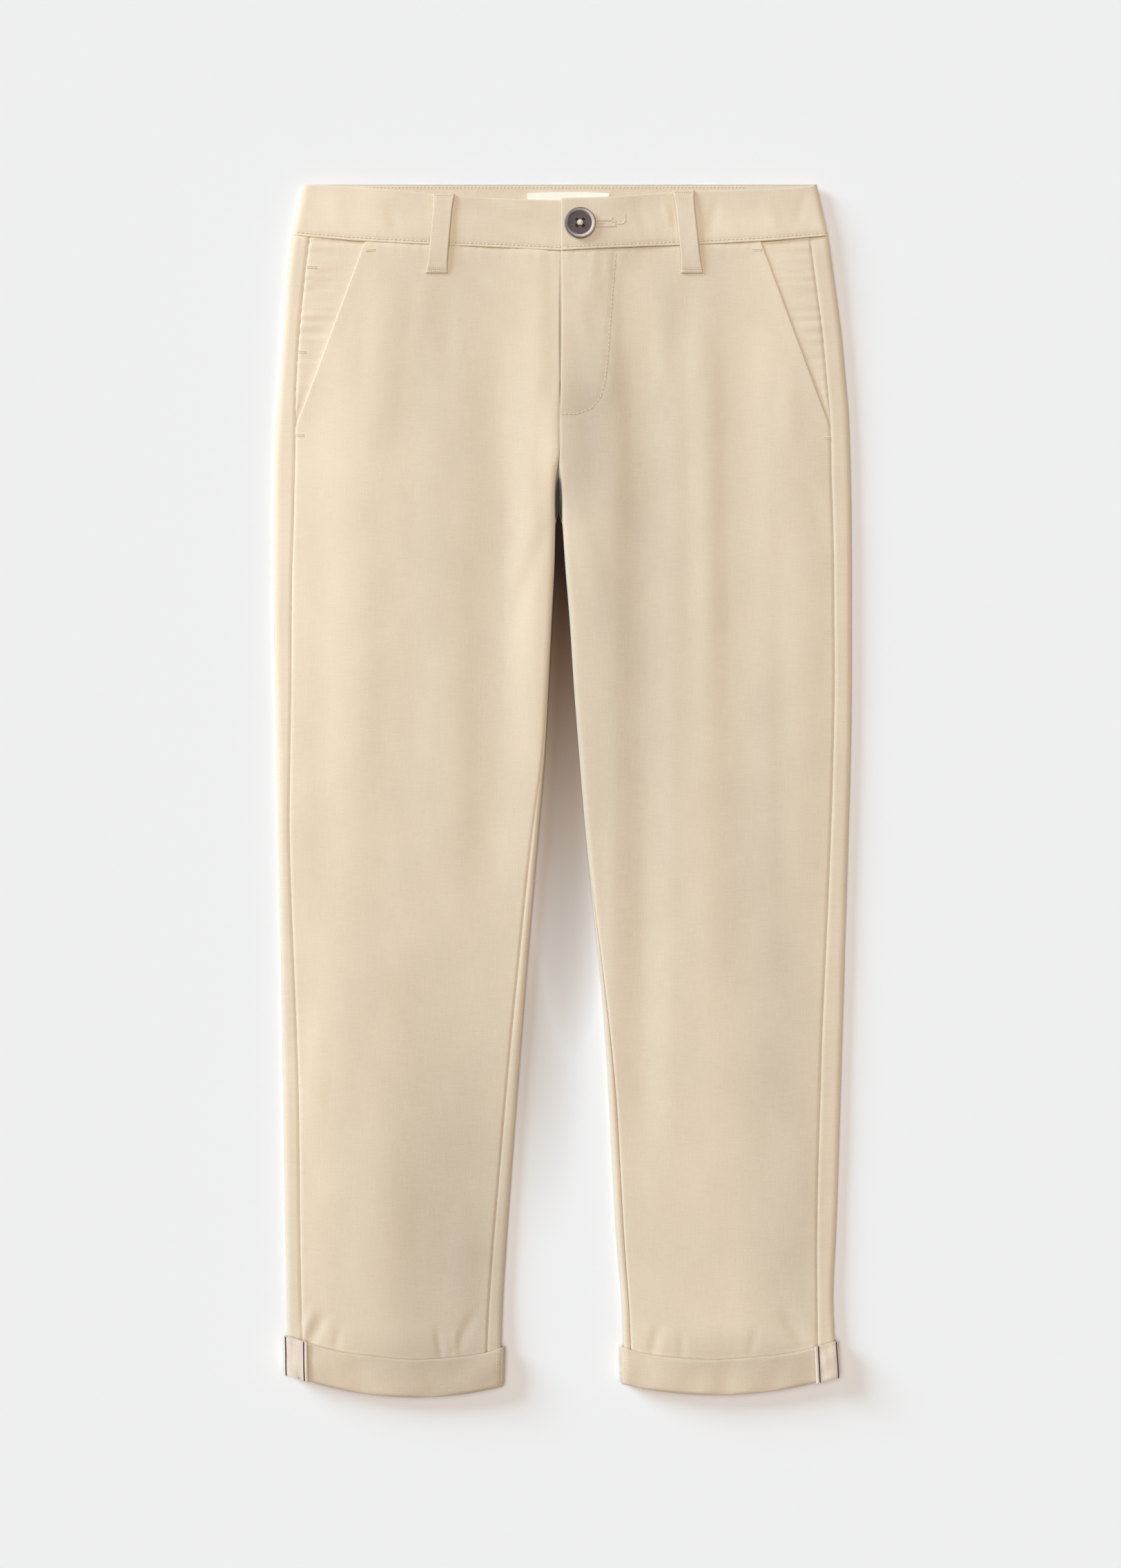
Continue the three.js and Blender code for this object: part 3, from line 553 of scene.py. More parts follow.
def edge_point(leg, row, edge, inward, along, amount, face):
    """A point of a leg's tube beside one of its edges. Positive along is on the upper face."""
    inset, share = rolled(along, edge_roll(row), amount)
    out = edge + inward * inset
    middle = (upper_edge(row) + lower_face(row)) / 2
    over = along > 0
    upper = np.where((amount < 1) & ~over, 0.5 - 0.5 * share, 0.5 + 0.5 * share * np.sign(along))
    down = row_down(leg, out, row, mix(np.where(over, 1, 0), upper, amount))
    surface = np.where(over, face(leg, out, down), lower_face(row))
    return leg.sign * out, down, mix(middle, surface, share)


def slant_out(down):
    t = (down - POCKET.top_down) / (POCKET.bottom_down - POCKET.top_down)
    return mix(POCKET.top_out, POCKET.bottom_out, t)


def front_side(leg, row):
    """The front's outer boundary: the slanted pocket edge, and below it the outseam."""
    on_slant = slant_out(row_down(leg, slant_out(row), row, 1))
    return np.where(row >= POCKET.bottom_down, section(leg, "outseam", row) - SEAM_OPEN, on_slant)


# The photograph's scale at the cloth's level, the place at its middle, and where its light is.
PIXEL = 0.4
PHOTO_HEIGHT = 2272
SENSOR = 36
CLOTH_LEVEL = 4
PHOTO_CENTRE = Point(-1.4, 347.8)
Lamp = namedtuple("Lamp", "name spread come_from colour")
KEY = Lamp("key", 24, (-0.79, 0.52, 0.33), (0.606, 0.818, 1.0))
TOP = Lamp("top", 40, (-0.05, 0.08, 1.0), (1.0, 0.903, 0.806))
SKY_COLOUR = (1.0, 0.95, 0.93, 1.0)


# Making pieces.
def settings():
    return bpy.context.scene.trousers


def finish_piece(obj, node=None):
    """Every piece rides on the one body, and hides the solid that it dresses, where one is named."""
    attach(obj, "root")
    if node:
        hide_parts(node)
    return obj


def new_object(name, mesh, material):
    obj = bpy.data.objects.new(name, mesh)
    bpy.context.scene.collection.objects.link(obj)
    mesh.materials.append(material)
    mesh.shade_smooth()
    return obj


def cloth_piece(name, columns, rows, shape, material, thick, turned=False, closed=False):
    """A piece of cloth: a grid whose points are moved to shape(column, row), then thickened inwards.
    shape gives x, down and height in millimetres, and the place on the flat cloth."""
    bm = bmesh.new()
    bmesh.ops.create_grid(bm, x_segments=columns, y_segments=rows, size=0.5)
    mesh = bpy.data.meshes.new(name)
    bm.to_mesh(mesh)
    bm.free()
    points = np.empty(len(mesh.vertices) * 3)
    mesh.vertices.foreach_get("co", points)
    column = np.rint((points[0::3] + 0.5) * columns)
    row = np.rint((0.5 - points[1::3]) * rows)
    x, down, z, u, v = shape(column, row)
    points[0::3] = x * MM
    points[1::3] = (LENGTH / 2 - down) * MM
    points[2::3] = z * MM
    mesh.vertices.foreach_set("co", points)
    corners = np.empty(len(mesh.loops), int)
    mesh.loops.foreach_get("vertex_index", corners)
    layer = mesh.uv_layers.new(name="cloth")
    layer.data.foreach_set("uv", np.stack([u * MM, v * MM], 1)[corners].ravel())
    if turned:
        mesh.flip_normals()
    if closed:
        join_edges(mesh)
    mesh.update()
    obj = new_object(name, mesh, material)
    if thick:
        wall = obj.modifiers.new("wall", "SOLIDIFY")
        wall.thickness = thick * MM
        wall.offset = -1
    return obj


def join_edges(mesh):
    """Joins the opposite edges of a grid that was bent into a ring."""
    bm = bmesh.new()
    bm.from_mesh(mesh)
    bmesh.ops.remove_doubles(bm, verts=bm.verts, dist=1e-6)
    bmesh.ops.recalc_face_normals(bm, faces=bm.faces)
    bm.to_mesh(mesh)
    bm.free()


def surface_of(*objects):
    """Finds the highest point of some pieces under a place, and the way it faces."""
    depsgraph = bpy.context.evaluated_depsgraph_get()
    trees = [BVHTree.FromObject(o, depsgraph) for o in objects]

    def under(x, down):
        start = Vector((x * MM, (LENGTH / 2 - down) * MM, 0.05))
        best = None
        for tree in trees:
            place, normal, _, _ = tree.ray_cast(start, Vector((0, 0, -1)))
            if place and (best is None or place.z > best[0].z):
                best = (place, normal)
        return best

    return under


def walk(points, step):
    """Places and directions at even steps along a line of points."""
    marks = []
    spare = step / 2
    for a, b in zip(points, points[1:]):
        run = Vector((b[0] - a[0], b[1] - a[1]))
        long = run.length
        at = spare
        while at < long:
            marks.append((a[0] + run.x * at / long, a[1] + run.y * at / long, run / long))
            at += step
        spare = at - long
    return marks


def add_stitch(bm, place, normal, way, length, width):
    """One stitch: a low oval of thread that lies along its seam."""
    way = (way - normal * way.dot(normal)).normalized()
    side = normal.cross(way)
    turn = Matrix((way, side, normal)).transposed().to_4x4()
    size = Matrix.Diagonal((length / 2, width / 2, width * 0.4, 1))
    lift = Matrix.Translation(place + normal * width * 0.12)
    bmesh.ops.create_uvsphere(bm, u_segments=6, v_segments=4, radius=1, matrix=lift @ turn @ size)


def sew(bm, under, points, length=1.55, step=2.45, width=0.66, slant=0.0):
    """A row of stitches along a line of (x, down) places, on the pieces that under looks at."""
    for x, down, run in walk(points, step):
        found = under(x, down)
        if not found:
            continue
        place, normal = found
        way = Vector((run.x, -run.y, 0))
        way.rotate(Matrix.Rotation(slant, 3, "Z"))
        add_stitch(bm, place, normal, way, length * MM, width * MM)


def pierce(bm, under, points, step=2.45, width=0.5):
    """Dark ovals between the stitches of a row: painted shade in the needle's holes."""
    for x, down, run in walk(points, step):
        found = under(x + run.x * step / 2, down + run.y * step / 2)
        if found:
            add_stitch(bm, *found, Vector((run.x, -run.y, 0)), width * 1.6 * MM, width * MM)


def thread_object(name, bm, material=None):
    mesh = bpy.data.meshes.new(name)
    bm.to_mesh(mesh)
    bm.free()
    return finish_piece(new_object(name, mesh, material or thread_finish()))


# Finishes. A socket wrapper lets shader maths be written as expressions.
class Value:
    def __init__(self, tree, socket):
        self.tree = tree
        self.socket = socket

    def _maths(self, operation, a, b=0.0):
        node = self.tree.nodes.new("ShaderNodeMath")
        node.operation = operation
        for socket, value in zip(node.inputs, (a, b)):
            if isinstance(value, Value):
                self.tree.links.new(value.socket, socket)
            else:
                socket.default_value = value
        return Value(self.tree, node.outputs[0])

    def __add__(self, other):
        return self._maths("ADD", self, other)

    __radd__ = __add__

    def __mul__(self, other):
        return self._maths("MULTIPLY", self, other)

    __rmul__ = __mul__

    def __sub__(self, other):
        return self._maths("SUBTRACT", self, other)

    def __rsub__(self, other):
        return self._maths("SUBTRACT", other, self)

    def sine(self):
        return self._maths("SINE", self)

    def above_zero(self):
        return self._maths("MAXIMUM", self, 0.0)

    def below_one(self):
        return self._maths("MINIMUM", self, 1.0)

    def __pow__(self, power):
        return self._maths("POWER", self, power)


class Finish:
    """A material, its shader, and the nodes that feed it."""

    def __init__(self, name, roughness, sheen=0.0, gloss=0.5):
        self.material = bpy.data.materials.new(name)
        self.material.use_nodes = True
        self.tree = self.material.node_tree
        self.shader = self.tree.nodes["Principled BSDF"]
        self.shader.inputs["Roughness"].default_value = roughness
        self.shader.inputs["Specular IOR Level"].default_value = gloss
        self.shader.inputs["Sheen Weight"].default_value = sheen
        self.shader.inputs["Sheen Roughness"].default_value = 0.5

    def node(self, kind, options=None, **sockets):
        made = self.tree.nodes.new(kind)
        for key, value in (options or {}).items():
            setattr(made, key, value)
        for key, value in sockets.items():
            socket = made.inputs[key.replace("_", " ")]
            if isinstance(value, Value):
                self.tree.links.new(value.socket, socket)
            else:
                socket.default_value = value
        return made

    def value(self, node, output=0):
        return Value(self.tree, node.outputs[output])

    def place(self, scale, kind="cloth"):
        """The place on the flat cloth, or on the object, in the given units to a metre."""
        if kind == "cloth":
            found = self.node("ShaderNodeUVMap", {"uv_map": "cloth"})
            vector = self.value(found)
        else:
            vector = self.value(self.node("ShaderNodeTexCoord"), "Object")
        parts = self.node("ShaderNodeSeparateXYZ", Vector=vector)
        return [self.value(parts, i) * scale for i in range(3)]

    def noise(self, x, y, z=0.0, detail=2.0, rough=0.5):
        where = self.value(self.node("ShaderNodeCombineXYZ", X=x, Y=y, Z=z))
        made = self.node("ShaderNodeTexNoise", Vector=where, Scale=1.0, Detail=detail, Roughness=rough)
        return self.value(made)

    def blend(self, low, high, factor):
        made = self.node("ShaderNodeMix", {"data_type": "RGBA"})
        for index, value in ((0, factor), (6, low), (7, high)):
            if isinstance(value, Value):
                self.tree.links.new(value.socket, made.inputs[index])
            else:
                made.inputs[index].default_value = value
        return Value(self.tree, made.outputs[2])

    def colour(self, value):
        if isinstance(value, Value):
            self.tree.links.new(value.socket, self.shader.inputs["Base Color"])
        else:
            self.shader.inputs["Base Color"].default_value = value

    def bump(self, height, distance, strength=1.0):
        made = self.node("ShaderNodeBump", Height=height, Distance=distance, Strength=strength)
        self.tree.links.new(made.outputs[0], self.shader.inputs["Normal"])


def shade(colour, factor):
    return (colour[0] * factor, colour[1] * factor, colour[2] * factor, 1.0)


def once(make):
    """A finish is made once, however many pieces wear it."""

    def made():
        name = make.__name__
        return bpy.data.materials.get(name) or make(name)

    return made


# Where light and shade are painted broadly into the cloth's colour: the middle of each patch, its half sizes
# and how much.
# Three places carry painted shade: beside the fly's edge, in the fork, and on the cloth under the button's
# holes.
Patch = namedtuple("Patch", "x down wide tall amount")
PAINTED_LIGHT_AND_SHADE = [
    Patch(-145, 170, 70, 420, 0.20),
    Patch(-146, 540, 26, 160, 0.12),
    Patch(-58, 640, 70, 240, -0.22),
    Patch(-20, 95, 40, 130, 0.10),
    Patch(-20, 250, 20, 130, 0.14),
    Patch(-9, 165, 8, 46, 0.14),
    Patch(12, 140, 22, 80, -0.18),
    Patch(40, 250, 50, 270, -0.12),
    Patch(44, 85, 16, 60, 0.12),
    Patch(118, 75, 30, 90, 0.10),
    Patch(118, 400, 34, 200, -0.12),
    Patch(128, 600, 32, 220, -0.14),
    Patch(-95, 678, 60, 18, -0.09),
    Patch(95, 678, 60, 18, -0.12),
    Patch(155, 26, 14, 18, 0.14),
    Patch(-100, 20, 66, 26, 0.10),
    Patch(80, 22, 80, 20, 0.08),
]
TONE_AND_PAINTED_LIGHT_RANGE = 0.5
PAINTED_SHADES = [
    Patch(-1.8, 88, 1.1, 64, 0.6),
    Patch(-2.4, 186, 2.8, 24, 2.6),
    Patch(10, 23.3, 6, 6, 3),
]
DARKEST_PAINTED_SHADE = 0.09
# How dark the painted shade in the needle's holes is, against the twill.
NEEDLE_HOLE_SHADE = 0.6
LEG_SHADE = Patch(-3, 0, 60, 0, 1.0)
LEG_SHADE_FROM = 213
LEG_SHADE_TO = 497
LEG_SHADE_LEAN = 2.5
LEG_SHADOW = Patch(-14, 480, 34, 150, 0.24)
# The shade starts below the waist, never goes quite black, and takes more of green and of blue.
LEG_SHADE_TOP = 150
LEG_SHADE_FADE = 20
LEG_SHADE_LEAST = 0.02
GREEN_LOSS = 1.25
BLUE_LOSS = 1.5


def nearness(patch, x, down):
    """1 at a patch's middle, fading to 0 at its rim."""
    across = (x - patch.x) * (1 / patch.wide)
    along = (down - patch.down) * (1 / patch.tall)
    near = (1 - (across * across + along * along)).above_zero()
    return near * near


# The painted light and shade of the broad patches at a place.
def toning(x, down):
    total = 0.0
    for patch in PAINTED_LIGHT_AND_SHADE:
        total = nearness(patch, x, down) * patch.amount + total
    return total


# The weave's mottling: each noise's waves to a millimetre both ways, its seed and detail, and its
# shares of the tone and of the relief.
Mottle = namedtuple("Mottle", "across along seed detail tone relief")
CLOUD = Mottle(0.035, 0.022, 2, 3, 0.24, 0)
WEFT = Mottle(0.10, 1.9, 5, 2, 0.21, 1.1)
WARP = Mottle(1.9, 0.07, 9, 2, 0.20, 0.9)
SPECK = Mottle(1.3, 1.3, 13, 3, 0.35, 0.9)
MOTTLE_CONTRAST = 0.53
RIB_PITCH = 0.62
RIB_LEAN = 0.9
RIB_RELIEF = 0.22
WEAVE_BUMP = 0.00006


def woven(name, colour, contrast=1.0):
    """Fine cotton twill: diagonal ribs too small to count, slubs both ways and faint clouding, with painted
    broad light and shade, and painted shade in three places.
    """
    finish = Finish(name, roughness=0.88, sheen=0.12)
    u, v, _ = finish.place(1000)
    tone = 0.0
    relief = ((u + v * RIB_LEAN) * (2 * math.pi / RIB_PITCH)).sine() * RIB_RELIEF
    for mottle in (CLOUD, WEFT, WARP, SPECK):
        noise = finish.noise(u * mottle.across, v * mottle.along, mottle.seed, mottle.detail)
        tone = noise * mottle.tone + tone
        if mottle.relief:
            relief = noise * mottle.relief + relief
    x, y, _ = finish.place(1000, "object")
    down = LENGTH / 2 - y
    mottled = (tone - 0.5) * (MOTTLE_CONTRAST * contrast)
    # The factor adds painted light and shade to the weave's random mottle.
    factor = (mottled + toning(x, down)) * (0.5 / TONE_AND_PAINTED_LIGHT_RANGE) + 0.5
    mottled_and_painted_light = finish.blend(shade(colour, 1 - TONE_AND_PAINTED_LIGHT_RANGE), shade(colour, 1 + TONE_AND_PAINTED_LIGHT_RANGE), factor)
    # Painted shade beside the fly's edge, in the fork and under the button's holes.
    painted_shade = sum(nearness(patch, x, down) * patch.amount for patch in PAINTED_SHADES)
    finish.colour(finish.blend(mottled_and_painted_light, shade(colour, DARKEST_PAINTED_SHADE), painted_shade.below_one()))
    finish.bump(relief, WEAVE_BUMP, 0.9)
    return finish.material


@once
def twill_finish(name):
    return woven(name, settings().twill)


@once
def inner_twill_finish(name):
    return woven(name, settings().inner_twill, 1.15)


@once
def tape_finish(name):
    return woven(name, settings().tape, 0.9)


@once
def label_finish(name):
    finish = Finish(name, roughness=0.7, sheen=0.1)
    u, v, _ = finish.place(1000)
    thread = finish.noise(u * 0.4, v * 3.0, 3.0)
    finish.colour(finish.blend(shade(settings().label, 0.95), shade(settings().label, 1.03), thread))
    finish.bump((v * (2 * math.pi / 0.5)).sine() * 0.15 + thread, 0.00002)
    return finish.material


@once
def thread_finish(name):
    finish = Finish(name, roughness=0.6, sheen=0.1)
    x, y, z = finish.place(1000, "object")
    tone = finish.noise(x * 0.5, y * 0.5, z * 0.5)
    finish.colour(finish.blend(shade(settings().thread, 0.86), shade(settings().thread, 1.12), tone))
    finish.bump(((x + y) * (2 * math.pi / 0.35)).sine(), 0.00004, 0.6)
    return finish.material


@once
# Painted shade for the needle's holes: the twill, darkened.
def needle_hole_finish(name):
    finish = Finish(name, roughness=0.95)
    finish.colour(shade(settings().twill, NEEDLE_HOLE_SHADE))
    return finish.material


@once
def binding_finish(name):
    finish = Finish(name, roughness=0.7)
    x, y, z = finish.place(1000, "object")
    strand = ((y + x * 0.4) * (2 * math.pi / 0.9)).sine() * 0.5 + 0.5
    fuzz = finish.noise(x * 2.0, y * 2.0, z * 2.0)
    navy = settings().binding
    finish.colour(finish.blend(shade(navy, 0.7), shade(navy, 1.9), strand * 0.5 + fuzz * 0.5))
    finish.bump(strand, 0.0001)
    return finish.material


@once
def horn_finish(name):
    finish = Finish(name, roughness=0.5, gloss=0.25)
    x, y, z = finish.place(1000, "object")
    fleck = finish.noise(x * 2.4, y * 2.4, z * 2.4, detail=4.0, rough=0.7)
    horn = settings().horn
    finish.colour(finish.blend(shade(horn, 0.62), shade(horn, 1.5), (fleck - 0.5) * 2.4 + 0.5))
    finish.bump(fleck, 0.00008, 0.6)
    return finish.material


@once
def horn_rim_finish(name):
    finish = Finish(name, roughness=0.38, gloss=0.3)
    x, y, z = finish.place(1000, "object")
    streak = finish.noise(x * 0.35, y * 0.35, z, detail=2.0)
    radius = settings().button / 2 / MM
    across = (x - BUTTON_AT.x) * (1 / radius)
    along = (y - (LENGTH / 2 - BUTTON_AT.down)) * (1 / radius)
    # Painted highlight: the rim is lighter towards its right and lower side, with random streaks, and darker
    # towards its outer edge.
    outer_edge = ((across * across + along * along) - 0.82).above_zero() * 6
    painted_light_and_streaks = ((across - along * 0.3) * 0.62 + 0.48).above_zero() + (streak - 0.5) * 0.5
    rim = settings().horn_rim
    finish.colour(finish.blend(shade(rim, 0.28), shade(rim, 1.25), painted_light_and_streaks - outer_edge))
    return finish.material


@once
def paper_finish(name):
    """The floor's paper. Between the legs it carries their warm shade, deepest at the fork."""
    finish = Finish(name, roughness=0.95)
    x, y, _ = finish.place(1000, "object")
    down = LENGTH / 2 - y
    from_middle = x - LEG_SHADE.x
    past = down - from_middle * LEG_SHADE_LEAN - LEG_SHADE_FROM
    below = (past * (1 / (LEG_SHADE_TO - LEG_SHADE_FROM))).above_zero().below_one()
    across = from_middle * (1 / LEG_SHADE.wide)
    aside = (across * across * 2).below_one()
    above = ((LEG_SHADE_TOP - down) * (1 / LEG_SHADE_FADE)).above_zero().below_one()
    light = (below ** 1.25 + aside + above + LEG_SHADE_LEAST).below_one()
    light = light * (1 - nearness(LEG_SHADOW, x, down) * LEG_SHADOW.amount)
    green = light ** GREEN_LOSS
    blue = light ** BLUE_LOSS
    warm = finish.node("ShaderNodeCombineColor", Red=light, Green=green, Blue=blue)
    floor = settings().floor
    tint = finish.node("ShaderNodeMix", {"data_type": "RGBA", "blend_type": "MULTIPLY"})
    tint.inputs[0].default_value = 1.0
    tint.inputs[6].default_value = shade(floor, 1)
    finish.tree.links.new(warm.outputs[0], tint.inputs[7])
    finish.colour(Value(finish.tree, tint.outputs[2]))
    return finish.material


# Panels.
FRONT_COLUMNS = 84
FRONT_ROWS = 300


def rounded_edge(away, radius=EDGE_ROUND):
    """How much lower cloth is at a folded edge, by the distance from it."""
    t = np.clip(1 - away / radius, 0, 1)
    return radius * (1 - np.sqrt(1 - t * t))


def front_shape(leg):
    def shape(column, line):
        row = PANEL_TOP + spread(line, FRONT_ROWS, PANEL_LENGTH)
        amount = smooth(CROTCH.front_parts, CROTCH.front_rolled, row)
        lap = 0.0
        if leg is RIGHT:
            lap = FLY.lap * (1 - smooth(FLY.lap_end - 9, FLY.lap_end, row))
        inner = section(leg, "inner", row)
        roll = edge_roll(row)
        split = smooth(CROTCH.front_parts - 6, CROTCH.front_parts, row)
        seam = along_for(section(leg, "inseam", row) - inner, roll) + mix(0.02, SEAM_OPEN, split)
        edge = inner - lap
        end = front_side(leg, row) - edge + amount * (roll[1] - roll[0])
        across = spread(column, FRONT_COLUMNS, end - seam)
        x, down, z = edge_point(leg, row, edge, 1, seam + across, amount, front_face)
        beside_slant = end - seam - across
        fold = 1 - smooth(POCKET.bottom_down - 4, POCKET.bottom_down, row)
        z -= rounded_edge(beside_slant) * fold
        z += 0.25 * np.exp(-((beside_slant / 5) ** 2)) * fold
        over_fly = 1 - smooth(FLY.lap_end - 8, FLY.lap_end, row)
        z -= rounded_edge(across) * over_fly + 0.35 * np.exp(-((across / 0.8) ** 2)) * (1 - over_fly)
        return x, down, z, leg.sign * (inner + across), row

    return shape


BACK_COLUMNS = 120
BACK_ROWS = 280


def back_shape(leg):
    def shape(column, line):
        row = PANEL_TOP + spread(line, BACK_ROWS, PANEL_LENGTH)
        amount = smooth(CROTCH.back_parts, CROTCH.back_rolled, row)
        roll = edge_roll(row)
        outline = section(leg, "outline", row)
        fork = smooth(CROTCH.forks, CROTCH.forks + 8, row)
        seat = leg.sign * centre_front(row) + GAP / 2
        inner = mix(seat, section(leg, "inner", row), fork)
        outseam = along_for(outline - section(leg, "outseam", row), roll) - SEAM_OPEN
        inseam = along_for(section(leg, "inseam", row) - section(leg, "inner", row), roll) - SEAM_OPEN
        wrap = np.where(amount < 1, 0, inseam)
        half = (outline - inner) / 2
        outer_reach = half - roll[0] + roll[1]
        inner_reach = half + amount * (roll[1] - roll[0])
        total = outseam + outer_reach + inner_reach + wrap
        across = spread(column, BACK_COLUMNS, total)
        on_outer = across < outseam + outer_reach
        x1, down1, z1 = edge_point(leg, row, outline, -1, outseam - across, 1.0, upper_face)
        inner_along = across - (total - wrap)
        x2, down2, z2 = edge_point(leg, row, inner, 1, inner_along, amount, upper_face)
        x = np.where(on_outer, x1, x2)
        down = np.where(on_outer, down1, down2)
        return x, down, np.where(on_outer, z1, z2), leg.sign * (200 - across), row

    return shape


SHIELD_COLUMNS = 24
SHIELD_ROWS = 30


def shield_shape(column, line):
    """The fly's shield, which lies under both fronts."""
    x = SHIELD["left"] + spread(column, SHIELD_COLUMNS, SHIELD["right"] - SHIELD["left"])
    down = SHIELD["top"] + spread(line, SHIELD_ROWS, SHIELD["bottom"] - SHIELD["top"])
    z = upper_edge(down) - FLY.drop - CLOTH - 0.9 + 0.15 * np.sin(x / 5 + down / 11)
    return x, down, z, x, down


FACING_COLUMNS = 40
FACING_ROWS = 90
FACING_LENGTH = 115


def facing_shape(leg):
    def shape(column, line):
        row = PANEL_TOP + spread(line, FACING_ROWS, FACING_LENGTH)
        seam = section(leg, "outseam", row) - SEAM_OPEN
        slant = front_side(leg, row)
        across = spread(column, FACING_COLUMNS, seam - slant + POCKET.under)
        out = seam - across
        down = row_down(leg, out, row, 1)
        sunk = smooth(0, 1, across / np.maximum(seam - slant - 1, 0.5))
        z = upper_face(leg, out, down) - mix(0.05, PANEL_CLOTH + 0.25, sunk)
        z += puckers(down, across, 30, 0.16, 12) * (1 - sunk * 0.4)
        return leg.sign * out, down, z, leg.sign * out, down

    return shape


# Waistband.
BAND_COLUMNS = 230
BAND_ROWS = 34
BAND_DEPTH = 30
BAND_RADIUS = 3.6
BAND_ARC = 5.0
BAND_TAPER = 6.7
STITCH_INSET = 1.9


def band_lap(out):
    """How much the left half is raised by the right half's end, which lies under it."""
    return (BAND + GAP) * (1 - smooth(UNDERLAP + 2, UNDERLAP + 34, out))


def band_upper(leg, out):
    return BAND_TOP + (band_lap(out) if leg is LEFT else 0)


def band_end(leg):
    return -UNDERLAP if leg is RIGHT else float(section(leg, "inner", SEAT_SEAM))


def band_relief(leg, out, depth):
    """Creases, unevenness and drawn-in stitching of the band's upper layer."""
    x = leg.sign * out
    above_seam = BAND_DEPTH - depth
    relief = uneven(x, depth * 2, 7, 22, 80, 0.012)
    relief += drawn_in(BAND_DRAWN, x, above_seam - STITCH_INSET)
    relief += 0.25 * np.exp(-(((depth - 5) / 6) ** 2)) * np.sin(x / 17 + 1.2)
    relief += creases_at(x, depth, BAND_CREASES)
    return relief


def band_shape(leg):
    top_column = f"{leg.side}_top"

    def shape(column, line):
        depth = spread(line, BAND_ROWS, BAND_DEPTH)
        r = depth / BAND_DEPTH
        base = float(section(leg, "outline", SEAT_SEAM))
        outline = base - BAND_TAPER * (1 - r)
        front_reach = outline - band_end(leg) - BAND_RADIUS + BAND_ARC
        back_reach = outline + 0.01 - BAND_RADIUS + BAND_ARC
        across = spread(column, BAND_COLUMNS, front_reach + back_reach)
        along = front_reach - across
        inset, share = rolled(along, (BAND_RADIUS, BAND_ARC), 1)
        out = outline - inset
        over = along > 0
        upper = 0.5 + 0.5 * share * np.sign(along)
        layer = np.where(np.abs(along) < BAND_ARC, upper, np.where(over, 1, 0))
        top = curve(WAIST_DIP, top_column, np.maximum(out, 0), "out") * layer
        down = mix(top, waist_seam(out, layer), r)
        middle = (BAND_TOP + LOOP_LIFT) / 2
        surface = np.where(over, band_upper(leg, out) + band_relief(leg, out, depth), LOOP_LIFT)
        z = mix(middle, surface, share)
        sunk = rounded_edge(depth, 0.8) + rounded_edge(BAND_DEPTH - depth, 0.6)
        sunk += rounded_edge(across, 0.8)
        z += np.where(over, -sunk, sunk * 0.3)
        return leg.sign * out, down, z, leg.sign * (300 - across), depth

    return shape


# Belt loops.
LOOP_COLUMNS = 28
LOOP_ROWS = 90


def loop_shape(loop):
    leg = RIGHT if loop.x0 < 0 else LEFT
    start = 0.5
    if loop.upper:
        start = float(curve(WAIST_DIP, f"{leg.side}_top", abs(loop.x0), "out")) - 0.4
    end = LOOP_END if loop.upper else LOOP_END - 4

    def shape(column, line):
        down_along = spread(line, LOOP_ROWS, end - start)
        t = down_along / (end - start)
        half = mix(LOOP_WAIST, LOOP_FLARE, np.abs(2 * t - 1) ** 5) / 2
        across = spread(column, LOOP_COLUMNS, 2 * half)
        x = mix(loop.x0, loop.x1, t) - half + across
        from_side = np.minimum(across, 2 * half - across)
        from_end = np.minimum(down_along, end - start - down_along)
        bow = LOOP_BOW * np.sin(math.pi * np.clip(t, 0, 1)) ** 0.7
        z = BAND_TOP + GAP + LOOP_THICK + bow + uneven(x, down_along, 11, 8, 24, 0.02) * 0.6
        z += 0.18 * np.exp(-(((from_end - 3.4) / 1.6) ** 2)) + groove(from_end - 1.7, 0.3, 0.7)
        z -= rounded_edge(from_side, 0.7) + rounded_edge(from_end, 0.8)
        z -= 0.45 * smooth(end - start - 9, end - start, down_along)
        if not loop.upper:
            z = np.full(np.shape(z), LOOP_THICK)
        return x, start + down_along, z, x, down_along

    return shape


# Turn-ups.
RING_COLUMNS = 240
SECTION_ROWS = 56


def ring_place(leg, row, turn):
    """A place round a leg's flattened tube near its hem: turn goes once round from the outseam."""
    outline = section(leg, "outline", row)
    inner = section(leg, "inner", row)
    roll = edge_roll(row)
    half = (outline - inner) / 2 - roll[0] + roll[1]
    way = turn * 4 * half
    on_outer = (way < half) | (way >= 3 * half)
    outer_along = np.where(way < half, -way, 4 * half - way)
    along = np.where(on_outer, outer_along, way - 2 * half)
    inset, share = rolled(along, roll, 1)
    out = np.where(on_outer, outline - inset, inner + inset)
    over = along > 0
    middle = (upper_edge(row) + lower_face(row)) / 2
    surface = np.where(over, upper_edge(row) + crown(leg, out, row), lower_face(row))
    upper = 0.5 + 0.5 * share * np.sign(along)
    return out, mix(middle, surface, share), upper


